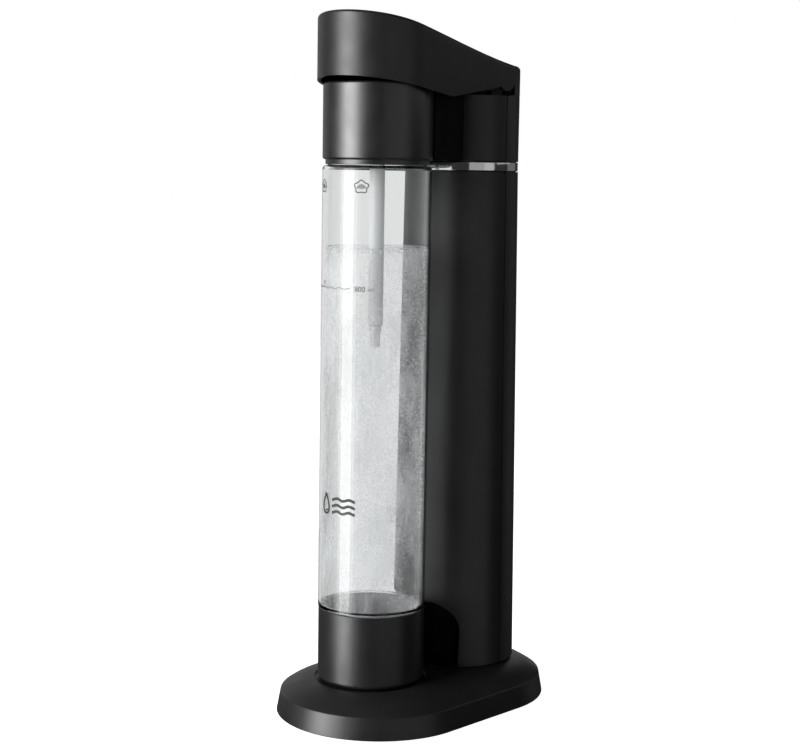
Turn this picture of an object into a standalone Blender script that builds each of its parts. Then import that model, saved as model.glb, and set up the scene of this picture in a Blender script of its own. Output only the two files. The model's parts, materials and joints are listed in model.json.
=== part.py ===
"""Counter-top soda carbonator, modelled as the separate pieces it is built from.

World frame: metres, +Z up, origin on the table under the middle of the base.
-Y is the front, where the bottle stands, and +Y is the rear, where the gas column stands.
"""

import math

import bmesh
import bpy
import numpy as np
from mathutils import Matrix, Vector

MM = 0.001
GAP = 0.3 * MM                    # air left between two pieces that touch on the real object

# ---- driving dimensions ----
BOTTLE_Y = -39.4 * MM             # axis shared by the bottle, its cup and the head
COLUMN_Y = 39.4 * MM              # axis shared by the column and the gas cylinder
HEAD_R = 33.8 * MM
BOTTLE_R = 33.8 * MM
CUP_R = 33.5 * MM
COLUMN_R = 36.0 * MM              # at and above the chrome band
COLUMN_FOOT_R = 39.7 * MM         # the column widens evenly down to its foot
HOOD_R = 37.5 * MM
WALL = 2.2 * MM                   # moulded wall of the column, head and housing
HOOD_WALL = 2.1 * MM

BASE_HALF_WIDTH = 63.8 * MM
BASE_HALF_SPAN = 33.5 * MM        # from the middle to the centre of each round end
BASE_BOTTOM = 1.0 * MM
BASE_EDGE_TOP = 14.6 * MM
BASE_TOP = 24.5 * MM
BASE_DRAFT = 2.5 * MM
BASE_CROWN_WIDTH = 28.0 * MM      # how far the curved top reaches in from the edge
BASE_SKIN = 3.0 * MM

CUP_TOP = 70.2 * MM
RING_BOTTOM = 343.9 * MM
RING_TOP = 350.0 * MM
HEAD_BOTTOM = 349.5 * MM
HEAD_TOP = 396.0 * MM
HOUSING_TOP = 391.4 * MM
COVER_TOP = 410.8 * MM            # the raised back wall behind the lever
BRIDGE_HALF_WIDTH = 24.0 * MM

LEVER_AXIS = Vector((0.0, 38.0 * MM, 402.0 * MM))
TILT_AXIS = Vector((0.0, 0.0, 388.0 * MM))
LEVER_THROW = 14.0 * MM           # from the lever's axis to the pad that presses the plate

ROUND_STEPS = 56                  # sides of a large turned piece
SMALL_STEPS = 24                  # sides of a pin, screw or tube

parts = None
cutters = None


# ---- scene, materials and small tools ----

def clear_scene():
    for old in list(bpy.data.objects):
        bpy.data.objects.remove(old, do_unlink=True)


def make_collection(name):
    group = bpy.data.collections.new(name)
    bpy.context.scene.collection.children.link(group)
    return group


def make_material(name, color, roughness, metallic=0.0, alpha=1.0):
    material = bpy.data.materials.new(name)
    material.use_nodes = True
    shader = material.node_tree.nodes["Principled BSDF"]
    shader.inputs["Base Color"].default_value = (*color, 1.0)
    shader.inputs["Roughness"].default_value = roughness
    shader.inputs["Metallic"].default_value = metallic
    shader.inputs["Alpha"].default_value = alpha
    material.diffuse_color = (*color, alpha)
    return material


def smooth(mesh):
    mesh.shade_smooth()
    mesh.set_sharp_from_angle(angle=math.radians(35))


def add_part(name, mesh, material, location=(0, 0, 0)):
    piece = bpy.data.objects.new(name, mesh)
    piece.location = location
    mesh.materials.append(material)
    smooth(mesh)
    parts.objects.link(piece)
    return piece


def add_cutter(name, mesh, location=(0, 0, 0)):
    tool = bpy.data.objects.new(name, mesh)
    tool.location = location
    tool.hide_render = True
    tool.display_type = "WIRE"
    cutters.objects.link(tool)
    return tool


def combine(piece, tool, operation):
    step = piece.modifiers.new(operation.title() + "_" + tool.name, "BOOLEAN")
    step.operation = operation
    step.solver = "EXACT"
    step.object = tool


def cut(piece, *tools):
    for tool in tools:
        combine(piece, tool, "DIFFERENCE")


def join(piece, *tools):
    for tool in tools:
        combine(piece, tool, "UNION")


def box_mesh(name, low, high):
    """A box between two opposite corners."""
    low = Vector(low)
    high = Vector(high)
    shape = bmesh.new()
    place = Matrix.Translation((low + high) / 2) @ Matrix.Diagonal((*(high - low), 1.0))
    bmesh.ops.create_cube(shape, size=1.0, matrix=place)
    return finish_mesh(name, shape)


def rod_mesh(name, radius, start, end, sides=SMALL_STEPS, end_radius=None):
    """A straight round rod or cone from start to end."""
    start = Vector(start)
    end = Vector(end)
    along = end - start
    turn = Vector((0, 0, 1)).rotation_difference(along).to_matrix().to_4x4()
    shape = bmesh.new()
    bmesh.ops.create_cone(
        shape, cap_ends=True, segments=sides, radius1=radius,
        radius2=radius if end_radius is None else end_radius,
        depth=along.length, matrix=Matrix.Translation((start + end) / 2) @ turn,
    )
    return finish_mesh(name, shape)


def finish_mesh(name, shape):
    bmesh.ops.recalc_face_normals(shape, faces=shape.faces)
    mesh = bpy.data.meshes.new(name)
    shape.to_mesh(mesh)
    shape.free()
    return mesh


def profile_mesh(name, points, closed):
    """Edges through (radius, height) points, ready for a Screw modifier."""
    edges = [(i, i + 1) for i in range(len(points) - 1)]
    if closed:
        edges.append((len(points) - 1, 0))
    mesh = bpy.data.meshes.new(name)
    mesh.from_pydata([(r, 0.0, z) for r, z in points], edges, [])
    return mesh


def turn_profile(piece, steps):
    turned = piece.modifiers.new("Turn", "SCREW")
    turned.axis = "Z"
    turned.angle = math.tau
    turned.steps = steps
    turned.render_steps = steps
    turned.use_merge_vertices = True
    turned.merge_threshold = 0.00005
    turned.use_smooth_shade = True


def turned_part(name, points, material, y, closed, steps=ROUND_STEPS):
    piece = add_part(name, profile_mesh(name, points, closed), material, (0, y, 0))
    turn_profile(piece, steps)
    return piece


def turned_cutter(name, points, y, closed=False, steps=ROUND_STEPS):
    tool = add_cutter(name, profile_mesh(name, points, closed), (0, y, 0))
    turn_profile(tool, steps)
    return tool


def tube_points(outer, inner, bottom, top):
    """The closed outline of a plain ring, down the outer side and up the inner one."""
    return [(outer, top), (outer, bottom), (inner, bottom), (inner, top)]


def rod_points(radius, bottom, top):
    return [(0.0, top), (radius, top), (radius, bottom), (0.0, bottom)]


def arc(centre_a, centre_b, radius, first, last, count):
    """Points on an arc, from the first angle to the last one in degrees."""
    angles = np.radians(np.linspace(first, last, count))
    return [(centre_a + radius * math.cos(a), centre_b + radius * math.sin(a)) for a in angles]


def curve_mesh(name, curve):
    """The closed mesh of a curve, its caps welded on."""
    holder = bpy.data.objects.new(name + "_curve", curve)
    cutters.objects.link(holder)
    bpy.context.view_layer.update()
    graph = bpy.context.evaluated_depsgraph_get()
    mesh = bpy.data.meshes.new_from_object(holder.evaluated_get(graph))
    bpy.data.objects.remove(holder, do_unlink=True)
    shape = bmesh.new()
    shape.from_mesh(mesh)
    bpy.data.meshes.remove(mesh)
    bmesh.ops.remove_doubles(shape, verts=shape.verts, dist=0.00001)
    return finish_mesh(name, shape)


def outline_mesh(name, outline, thickness):
    """A flat closed outline in the XY plane with a thickness centred on it."""
    curve = bpy.data.curves.new(name, "CURVE")
    curve.dimensions = "2D"
    curve.fill_mode = "BOTH"
    curve.extrude = thickness / 2
    spline = curve.splines.new("POLY")
    spline.points.add(len(outline) - 1)
    for point, (a, b) in zip(spline.points, outline):
        point.co = (a, b, 0.0, 1.0)
    spline.use_cyclic_u = True
    return curve_mesh(name, curve)


def side_outline_mesh(name, outline, thickness):
    """The same for an outline of (y, z) points, with its thickness along X."""
    mesh = outline_mesh(name, outline, thickness)
    mesh.transform(Matrix(((0, 0, 1, 0), (1, 0, 0, 0), (0, 1, 0, 0), (0, 0, 0, 1))))
    return mesh


def wire_mesh(name, points, radius, bevel=3):
    """A round wire or hose through the points."""
    curve = bpy.data.curves.new(name, "CURVE")
    curve.dimensions = "3D"
    curve.bevel_depth = radius
    curve.bevel_resolution = bevel
    curve.use_fill_caps = True
    spline = curve.splines.new("POLY")
    spline.points.add(len(points) - 1)
    for point, place in zip(spline.points, points):
        point.co = (*place, 1.0)
    return curve_mesh(name, curve)


def racetrack(half_width, half_span, count):
    """Points around a racetrack outline whose round ends are centred at +-half_span on Y."""
    rear = arc(0.0, half_span, half_width, 0, 180, count)
    front = arc(0.0, -half_span, half_width, 180, 360, count)
    return rear + front


def loft_mesh(name, sections):
    """A closed solid through racetrack sections of (half width, height), bottom to top."""
    shape = bmesh.new()
    rings = []
    for half_width, height in sections:
        outline = racetrack(half_width, BASE_HALF_SPAN, 17)
        rings.append([shape.verts.new((x, y, height)) for x, y in outline])
    for lower, upper in zip(rings, rings[1:]):
        for i in range(len(lower)):
            j = (i + 1) % len(lower)
            shape.faces.new((lower[i], lower[j], upper[j], upper[i]))
    shape.faces.new(rings[0])
    shape.faces.new(rings[-1])
    return finish_mesh(name, shape)


# ---- the foot of the machine ----

SCREW_SPOTS = [(x, y) for y in (-62.0 * MM, 62.0 * MM) for x in (-30.0 * MM, 30.0 * MM)]
FOOT_SPOTS = {
    "foot_front_left": (-42.0 * MM, -48.0 * MM),
    "foot_front_right": (42.0 * MM, -48.0 * MM),
    "foot_rear_left": (-42.0 * MM, 48.0 * MM),
    "foot_rear_right": (42.0 * MM, 48.0 * MM),
}
PLATE_BOTTOM = 2.1 * MM
PLATE_TOP = 4.6 * MM
RECESS_R = 35.2 * MM
RECESS_FLOOR = 23.2 * MM


def base_sections(inset, skin):
    """Racetrack sections up the draughted edge and over the crowned top."""
    top_width = BASE_HALF_WIDTH - BASE_DRAFT
    sections = [(BASE_HALF_WIDTH - inset, BASE_BOTTOM)]
    sections.append((top_width + 0.3 * MM - inset, BASE_EDGE_TOP - 1.2 * MM))
    sections.append((top_width - 0.8 * MM - inset, BASE_EDGE_TOP - skin))
    for part in (0.15, 0.32, 0.52, 0.75, 1.0):
        rise = (1.0 - (1.0 - part) ** 2) * (BASE_TOP - BASE_EDGE_TOP)
        sections.append((top_width - inset - part * BASE_CROWN_WIDTH, BASE_EDGE_TOP + rise - skin))
    return sections


def build_base(black, rubber, steel):
    shell = add_part("base_shell", loft_mesh("base_shell", base_sections(0.0, 0.0)), black)
    hollow = base_sections(BASE_SKIN, BASE_SKIN)
    hollow[0] = (hollow[0][0], BASE_BOTTOM - 2 * MM)
    hollow[1] = (hollow[1][0], BASE_EDGE_TOP - 3.4 * MM)
    cut(shell, add_cutter("cut_base_hollow", loft_mesh("cut_base_hollow", hollow)))
    recess = rod_mesh("cut_recess", RECESS_R, (0, BOTTLE_Y, RECESS_FLOOR), (0, BOTTLE_Y, 0.03), ROUND_STEPS)
    cut(shell, add_cutter("cut_recess", recess))

    plate_outline = racetrack(BASE_HALF_WIDTH - BASE_SKIN - 1.5 * MM, BASE_HALF_SPAN, 14)
    plate_mesh = outline_mesh("base_plate", plate_outline, PLATE_TOP - PLATE_BOTTOM)
    plate = add_part("base_plate", plate_mesh, black, (0, 0, (PLATE_TOP + PLATE_BOTTOM) / 2))

    for i, (x, y) in enumerate(SCREW_SPOTS):
        number = str(i + 1)
        boss = rod_mesh("boss_" + number, 4.5 * MM, (x, y, 5.0 * MM), (x, y, 22.3 * MM))
        join(shell, add_cutter("boss_" + number, boss))
        bore = rod_mesh("bore_" + number, 2.0 * MM, (x, y, 3.0 * MM), (x, y, 13.0 * MM))
        cut(shell, add_cutter("bore_" + number, bore))
        hole = rod_mesh("hole_" + number, 2.1 * MM, (x, y, 1.0 * MM), (x, y, 6.0 * MM))
        cut(plate, add_cutter("hole_" + number, hole))
        sink = rod_mesh("sink_" + number, 4.2 * MM, (x, y, 1.0 * MM), (x, y, 3.5 * MM))
        cut(plate, add_cutter("sink_" + number, sink))
        shank = [(0.0, 12.5 * MM), (1.7 * MM, 12.0 * MM), (1.7 * MM, 3.2 * MM), (3.8 * MM, 3.2 * MM),
                 (3.8 * MM, 2.2 * MM), (3.2 * MM, 1.8 * MM), (0.0, 1.8 * MM)]
        mesh = profile_mesh("base_screw_" + number, shank, False)
        screw = add_part("base_screw_" + number, mesh, steel, (x, y, 0))
        turn_profile(screw, 16)

    for name, (x, y) in FOOT_SPOTS.items():
        pad = [(0.0, 1.8 * MM), (8.0 * MM, 1.8 * MM), (8.0 * MM, 0.5 * MM), (7.5 * MM, 0.0), (0.0, 0.0)]
        foot = add_part(name, profile_mesh(name, pad, False), rubber, (x, y, 0))
        turn_profile(foot, 24)


# ---- the column, its rear cover and the upper housing ----

COLUMN_BOTTOM = BASE_TOP + GAP
SPLIT_Y = COLUMN_Y + 0.8 * MM     # the seam between the column's front and its rear cover
ARCH_HALF_WIDTH = 29.3 * MM
ARCH_FOOT_HALF_WIDTH = 28.6 * MM
ARCH_TOP = 66.5 * MM
ARCH_CORNER = 17.5 * MM
RING_GROOVE = 1.4 * MM
COVER_FRONT = 49.0 * MM           # front edge of the cover's raised top


def arch_outline():
    side = ARCH_HALF_WIDTH
    turn_z = ARCH_TOP - ARCH_CORNER
    low = COLUMN_BOTTOM - 5 * MM
    outline = [(-ARCH_FOOT_HALF_WIDTH, low), (ARCH_FOOT_HALF_WIDTH, low)]
    outline += arc(side - ARCH_CORNER, turn_z, ARCH_CORNER, 0, 90, 8)
    outline += arc(ARCH_CORNER - side, turn_z, ARCH_CORNER, 90, 180, 8)
    return outline


def build_column(black, chrome):
    behind = box_mesh("cut_rear_half", (-0.05, SPLIT_Y - GAP / 2, 0.0), (0.05, 0.12, 0.5))
    ahead = box_mesh("cut_front_half", (-0.05, -0.12, 0.0), (0.05, SPLIT_Y + GAP / 2, 0.5))
    remove_rear = add_cutter("cut_rear_half", behind)
    remove_front = add_cutter("cut_front_half", ahead)

    inner = COLUMN_R - WALL
    wall = [(COLUMN_R, RING_BOTTOM - GAP), (COLUMN_FOOT_R, COLUMN_BOTTOM),
            (COLUMN_FOOT_R - WALL, COLUMN_BOTTOM), (inner, RING_BOTTOM - GAP)]
    shell = turned_part("column_shell", wall, black, COLUMN_Y, True)
    arch = outline_mesh("cut_arch", arch_outline(), 40 * MM)
    arch.transform(Matrix.Rotation(math.pi / 2, 4, "X"))
    cut(shell, remove_rear, add_cutter("cut_arch", arch, (0, 4 * MM, 0)))

    band = tube_points(COLUMN_R - 0.1 * MM, inner, RING_BOTTOM, RING_TOP - GAP)
    ring = turned_part("trim_ring_front", band, chrome, COLUMN_Y, True)
    cut(ring, remove_rear)
    band = tube_points(COLUMN_R - 0.1 * MM, COLUMN_R - RING_GROOVE + GAP, RING_BOTTOM, RING_TOP - GAP)
    rear_ring = turned_part("trim_ring_rear", band, chrome, COLUMN_Y, True)
    cut(rear_ring, remove_front)

    groove = COLUMN_R - RING_GROOVE
    corner = 3.0 * MM
    wall = [(0.0, COVER_TOP)] + arc(COLUMN_R - corner, COVER_TOP - corner, corner, 90, 0, 4)
    wall += [(COLUMN_R, RING_TOP), (groove, RING_TOP), (groove, RING_BOTTOM - GAP),
             (COLUMN_R, RING_BOTTOM - GAP), (COLUMN_FOOT_R, COLUMN_BOTTOM),
             (COLUMN_FOOT_R - WALL, COLUMN_BOTTOM), (inner, RING_BOTTOM - GAP),
             (inner, COVER_TOP - WALL), (0.0, COVER_TOP - WALL)]
    cover = turned_part("rear_cover", wall, black, COLUMN_Y, False)
    step = box_mesh("cut_cover_step", (-0.05, 0.0, HOUSING_TOP), (0.05, COVER_FRONT, 0.45))
    cut(cover, remove_front, add_cutter("cut_cover_step", step))
    return remove_rear


def build_housing(black, remove_rear):
    bottom = RING_TOP
    inner = COLUMN_R - WALL
    body = turned_part("upper_housing", rod_points(COLUMN_R, bottom, HOUSING_TOP), black, COLUMN_Y, False)
    low = (-BRIDGE_HALF_WIDTH, -20 * MM, bottom)
    bridge = box_mesh("bridge", low, (BRIDGE_HALF_WIDTH, COLUMN_Y, HOUSING_TOP))
    join(body, add_cutter("bridge", bridge))
    hollow = turned_cutter("cut_housing", rod_points(inner, bottom - 5 * MM, HOUSING_TOP - WALL), COLUMN_Y)
    reach = BRIDGE_HALF_WIDTH - WALL
    duct = box_mesh("cut_duct", (-reach, -30 * MM, bottom + WALL), (reach, COLUMN_Y, HOUSING_TOP + 5 * MM))
    head_room = rod_mesh("cut_head_room", HEAD_R + 1.2 * MM, (0, BOTTLE_Y, 330 * MM), (0, BOTTLE_Y, 420 * MM),
                         ROUND_STEPS)
    opening = rod_mesh("cut_top", 32.3 * MM, (0, COLUMN_Y, 0.38), (0, COLUMN_Y, 0.40), 48)
    cut(body, hollow, add_cutter("cut_duct", duct), add_cutter("cut_head_room", head_room),
        add_cutter("cut_top", opening), remove_rear)
    for name, side in (("left", -1), ("right", 1)):
        edge = side * (reach + 0.5 * MM)
        ear = rod_mesh("ear_" + name, 5.0 * MM, (edge, 0, TILT_AXIS.z - 2 * MM),
                       (edge - side * 4 * MM, 0, TILT_AXIS.z - 2 * MM))
        join(body, add_cutter("ear_" + name, ear))
    pin_room = rod_mesh("cut_pin_room", 2.8 * MM, (-reach, 0, TILT_AXIS.z), (reach, 0, TILT_AXIS.z))
    cut(body, add_cutter("cut_pin_room", pin_room))


def build_tilt_pin(steel):
    reach = BRIDGE_HALF_WIDTH - WALL - GAP
    mesh = rod_mesh("tilt_pin", 2.4 * MM, (-reach, 0, 0), (reach, 0, 0))
    add_part("tilt_pin", mesh, steel, TILT_AXIS)


# ---- gas cylinder and the valve above it ----

GAS_R = 30.0 * MM
CRADLE_R = 33.0 * MM
CRADLE_FOOT_R = 36.5 * MM
CRADLE_TOP = 72.0 * MM
CRADLE_FLOOR = 27.6 * MM
GAS_BOTTOM = CRADLE_FLOOR + GAP
GAS_NECK_TOP = 346.0 * MM
BLOCK_BOTTOM = 352.5 * MM
BLOCK_TOP = 370.0 * MM
PIN_TOP = 371.5 * MM
BRACKET_TOP = 359.5 * MM          # the bracket that carries the valve block by its flange
FLANGE_TOP = 362.4 * MM
PLATE_LOW = 382.0 * MM            # underside of the press plate at rest
PLATE_HIGH = 385.0 * MM
PRESS_Y = LEVER_AXIS.y - LEVER_THROW
BUTTON_TOP = 393.3 * MM


def build_gas(black, grey, brass, steel, rubber):
    bore_r = GAS_R + 2 * GAP
    outline = [(0.0, CRADLE_FLOOR), (bore_r, CRADLE_FLOOR), (bore_r, CRADLE_TOP), (CRADLE_R, CRADLE_TOP),
               (CRADLE_R, CRADLE_FLOOR), (CRADLE_FOOT_R, CRADLE_FLOOR), (CRADLE_FOOT_R, COLUMN_BOTTOM + GAP),
               (0.0, COLUMN_BOTTOM + GAP)]
    cradle = turned_part("cylinder_cradle", outline, black, COLUMN_Y, False, 40)
    door = box_mesh("cut_cradle", (-0.05, COLUMN_Y, CRADLE_FLOOR + 6 * MM), (0.05, 0.12, 0.1))
    cut(cradle, add_cutter("cut_cradle", door))

    bottom_corner = arc(GAS_R - 7 * MM, GAS_BOTTOM + 7 * MM, 7 * MM, 0, -90, 4)
    shoulder = arc(0.0, 318 * MM, GAS_R, 62, 0, 6)
    neck = [(0.0, GAS_NECK_TOP), (12 * MM, GAS_NECK_TOP), (14 * MM, GAS_NECK_TOP - 1.5 * MM)]
    bottle = neck + shoulder + bottom_corner + [(0.0, GAS_BOTTOM)]
    turned_part("co2_cylinder", bottle, grey, COLUMN_Y, False, 36)

    low = GAS_NECK_TOP + GAP
    outline = [(2.6 * MM, 366 * MM), (9.0 * MM, 366 * MM), (10.2 * MM, 364.5 * MM), (10.2 * MM, 352 * MM),
               (13.5 * MM, 351 * MM), (13.5 * MM, low), (2.6 * MM, low)]
    turned_part("cylinder_valve", outline, brass, COLUMN_Y, True, 24)
    outline = [(0.0, PIN_TOP), (1.6 * MM, PIN_TOP - 0.4 * MM), (2.1 * MM, PIN_TOP - 0.8 * MM),
               (2.1 * MM, 350 * MM), (0.0, 350 * MM)]
    turned_part("valve_pin", outline, steel, COLUMN_Y, False, SMALL_STEPS)
    washer = tube_points(10.0 * MM, 3.2 * MM, 366.3 * MM, 367.3 * MM)
    turned_part("valve_seal", washer, rubber, COLUMN_Y, True, 24)

    outline = [(19 * MM, BLOCK_TOP), (19 * MM, FLANGE_TOP), (28 * MM, FLANGE_TOP), (28 * MM, BRACKET_TOP + GAP),
               (19 * MM, BRACKET_TOP + GAP), (19 * MM, BLOCK_BOTTOM), (10.8 * MM, BLOCK_BOTTOM),
               (10.8 * MM, 367.6 * MM), (2.6 * MM, 367.6 * MM), (2.6 * MM, BLOCK_TOP)]
    block = turned_part("valve_block", outline, brass, COLUMN_Y, True, 40)
    outline = tube_points(33.2 * MM, 19.6 * MM, BRACKET_TOP - 3.5 * MM, BRACKET_TOP)
    bracket = turned_part("valve_bracket", outline, black, COLUMN_Y, True, 40)
    space = box_mesh("cut_bracket", (-0.05, COLUMN_Y + 12 * MM, 0.3), (0.05, 0.12, 0.4))
    cut(bracket, add_cutter("cut_bracket", space))
    for name, side in (("left", -1), ("right", 1)):
        x = side * 23.5 * MM
        hole = rod_mesh("hole_block_" + name, 1.7 * MM, (x, COLUMN_Y, 0.35), (x, COLUMN_Y, 0.365), 16)
        tool = add_cutter("hole_block_" + name, hole)
        cut(block, tool)
        cut(bracket, tool)
        shape = [(0.0, FLANGE_TOP + 1.9 * MM), (2.6 * MM, FLANGE_TOP + 1.9 * MM), (2.6 * MM, FLANGE_TOP + GAP),
                 (1.3 * MM, FLANGE_TOP + GAP), (1.3 * MM, BRACKET_TOP - 6 * MM), (0.0, BRACKET_TOP - 6 * MM)]
        screw = add_part("block_screw_" + name, profile_mesh("block_screw_" + name, shape, False), steel,
                         (x, COLUMN_Y, 0))
        turn_profile(screw, 16)


def build_press(black, steel):
    """The plate between the lever's pad and the valve pin, and the spring under it."""
    outline = arc(PRESS_Y, 0.0, 8 * MM, 90, 270, 8) + arc(COLUMN_Y, 0.0, 9 * MM, -90, 90, 8)
    mesh = outline_mesh("press_plate", outline, PLATE_HIGH - PLATE_LOW)
    mesh.transform(Matrix.Rotation(math.pi / 2, 4, "Z"))
    plate = add_part("press_plate", mesh, black, (0, 0, (PLATE_HIGH + PLATE_LOW) / 2))
    middle = (PLATE_HIGH + PLATE_LOW) / 2
    button = rod_mesh("press_button", 4.5 * MM, (0, PRESS_Y, PLATE_LOW + MM - middle),
                      (0, PRESS_Y, BUTTON_TOP - middle))
    stem = rod_mesh("press_stem", 3.2 * MM, (0, COLUMN_Y, PIN_TOP + GAP - middle),
                    (0, COLUMN_Y, PLATE_HIGH - MM - middle))
    for tool in (add_cutter("press_button", button), add_cutter("press_stem", stem)):
        tool.location = plate.location
        join(plate, tool)

    low = BLOCK_TOP + GAP + 0.8 * MM
    high = PLATE_LOW - GAP - 0.8 * MM
    turns = 4.0
    count = int(turns * 12) + 1
    steps = np.linspace(0.0, 1.0, count)
    coil = [(6.5 * MM * math.cos(math.tau * turns * t), 6.5 * MM * math.sin(math.tau * turns * t),
             low + (high - low) * t) for t in steps]
    add_part("press_spring", wire_mesh("press_spring", coil, 0.8 * MM, 1), steel, (0, COLUMN_Y, 0))


def build_hose(rubber):
    """A short hose from the valve block up to the tilting head's swivel."""
    bend = arc(17 * MM, 374 * MM, 8 * MM, 270, 180, 8)
    route = [(0, 20 * MM, 366 * MM)] + [(0, y, z) for y, z in bend] + [(0, 9 * MM, 379 * MM)]
    add_part("gas_hose", wire_mesh("gas_hose", route, 2.2 * MM, 2), rubber)


# ---- lever ----

HOOD_FRONT = BOTTLE_Y - HOOD_R
HOOD_BACK = 46.5 * MM
RIM_FRONT_Z = 399.1 * MM
RIM_CORNER = (-13.0 * MM, 388.3 * MM)
RIM_REAR = (30.3 * MM, 396.0 * MM)
LUG_R = 8.0 * MM
CREST_FRONT_Z = 437.7 * MM
CREST_BACK_Z = 410.3 * MM
HOOD_EDGE = 1.6 * MM


def crest_height(y):
    """Height of the hood's top, which falls slightly faster towards the rear."""
    t = (y - HOOD_FRONT) / (HOOD_BACK - HOOD_FRONT)
    return CREST_FRONT_Z + (CREST_BACK_Z - CREST_FRONT_Z) * (0.72 * t + 0.28 * t * t * (3 - 2 * t))


def hood_side_outline():
    crest = [(y, crest_height(y)) for y in np.linspace(HOOD_BACK, HOOD_FRONT - 3 * MM, 9)]
    lug = arc(LEVER_AXIS.y, LEVER_AXIS.z, LUG_R, 218, 355, 7)
    front = (HOOD_FRONT - 3 * MM, RIM_FRONT_Z + 0.5 * MM)
    return crest + [front, RIM_CORNER, RIM_REAR] + lug + [(HOOD_BACK, LEVER_AXIS.z + 2 * MM)]


def hood_plan(inset, back):
    """Plan outline: a round front and two straight sides."""
    half = HOOD_R - inset
    front = arc(0.0, BOTTLE_Y, half, 180, 360, 33)
    return front + [(half, back), (-half, back)]


def build_lever(black, grey, steel):
    tall = 80 * MM
    middle = Vector((0, 0, 412 * MM))
    plan = outline_mesh("lever_cover", hood_plan(0.0, HOOD_BACK), tall)
    plan.transform(Matrix.Translation(middle - LEVER_AXIS))
    hood = add_part("lever_cover", plan, black, LEVER_AXIS)
    side = side_outline_mesh("keep_hood_side", hood_side_outline(), 100 * MM)
    combine(hood, add_cutter("keep_hood_side", side), "INTERSECT")
    edge = hood.modifiers.new("Edge", "BEVEL")
    edge.width = HOOD_EDGE
    edge.segments = 2
    edge.limit_method = "ANGLE"
    edge.angle_limit = math.radians(60)
    plan = outline_mesh("cut_hood", hood_plan(HOOD_WALL, HOOD_BACK - HOOD_WALL), tall)
    hollow = add_cutter("cut_hood", plan, middle)
    stations = np.linspace(HOOD_BACK, HOOD_FRONT - 3 * MM, 9)
    outline = [(y, crest_height(y) - HOOD_WALL * 1.1) for y in stations]
    outline += [(HOOD_FRONT - 3 * MM, 0.37), (HOOD_BACK, 0.37)]
    inner_side = side_outline_mesh("keep_hollow_side", outline, 100 * MM)
    combine(hollow, add_cutter("keep_hollow_side", inner_side), "INTERSECT")
    cut(hood, hollow)

    axis = LEVER_AXIS
    low = (-34.9 * MM, PRESS_Y - 4 * MM, BUTTON_TOP + 2 * GAP)
    frame_mesh = box_mesh("lever_frame", low, (34.9 * MM, PRESS_Y + 4 * MM, 401 * MM))
    frame_mesh.transform(Matrix.Translation(-axis))
    frame = add_part("lever_frame", frame_mesh, grey, axis)
    for name, side in (("left", -1), ("right", 1)):
        arm_outline = arc(axis.y, axis.z, 5.8 * MM, -90, 90, 9) + [(10 * MM, axis.z + 5.8 * MM),
                                                                   (10 * MM, axis.z - 4.5 * MM)]
        arm = side_outline_mesh("arm_" + name, arm_outline, 3.3 * MM)
        join(frame, add_cutter("arm_" + name, arm, (side * 33.2 * MM, 0, 0)))
    bore = rod_mesh("cut_frame_bore", 3.35 * MM, (-0.04, axis.y, axis.z), (0.04, axis.y, axis.z))
    cut(frame, add_cutter("cut_frame_bore", bore))

    reach = 34.5 * MM
    add_part("lever_pin", rod_mesh("lever_pin", 3.0 * MM, (-reach, 0, 0), (reach, 0, 0)), steel, axis)

    ear_outline = arc(axis.y, axis.z, 5.8 * MM, 0, 180, 10) + [(axis.y - 5.8 * MM, 386.5 * MM),
                                                              (axis.y + 5.8 * MM, 386.5 * MM)]
    foot_low = (-29.5 * MM, 31 * MM, 386.0 * MM)
    foot = box_mesh("hinge_bracket", foot_low, (29.5 * MM, SPLIT_Y - MM, 388.6 * MM))
    bracket = add_part("hinge_bracket", foot, steel)
    for name, side in (("left", -1), ("right", 1)):
        ear = side_outline_mesh("bracket_ear_" + name, ear_outline, 3.2 * MM)
        join(bracket, add_cutter("bracket_ear_" + name, ear, (side * 27.6 * MM, 0, 0)))
    bore = rod_mesh("cut_bracket_bore", 3.35 * MM, (-0.04, axis.y, axis.z), (0.04, axis.y, axis.z))
    cut(bracket, add_cutter("cut_bracket_bore", bore))


# ---- tilting head with the bottle holder and the nozzle ----

NECK_R = 20.0 * MM
MOUTH_TOP = 383.0 * MM
COLLAR_TOP = 384.7 * MM
MANIFOLD_TOP = 390.0 * MM
LUG_ANGLES = (90, 210, 330)
LIP_R = 32.0 * MM                 # the head's inner lip, which hangs a little below its wall
LIP_BOTTOM = 346.6 * MM
LIP_WALL = 1.4 * MM


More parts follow.
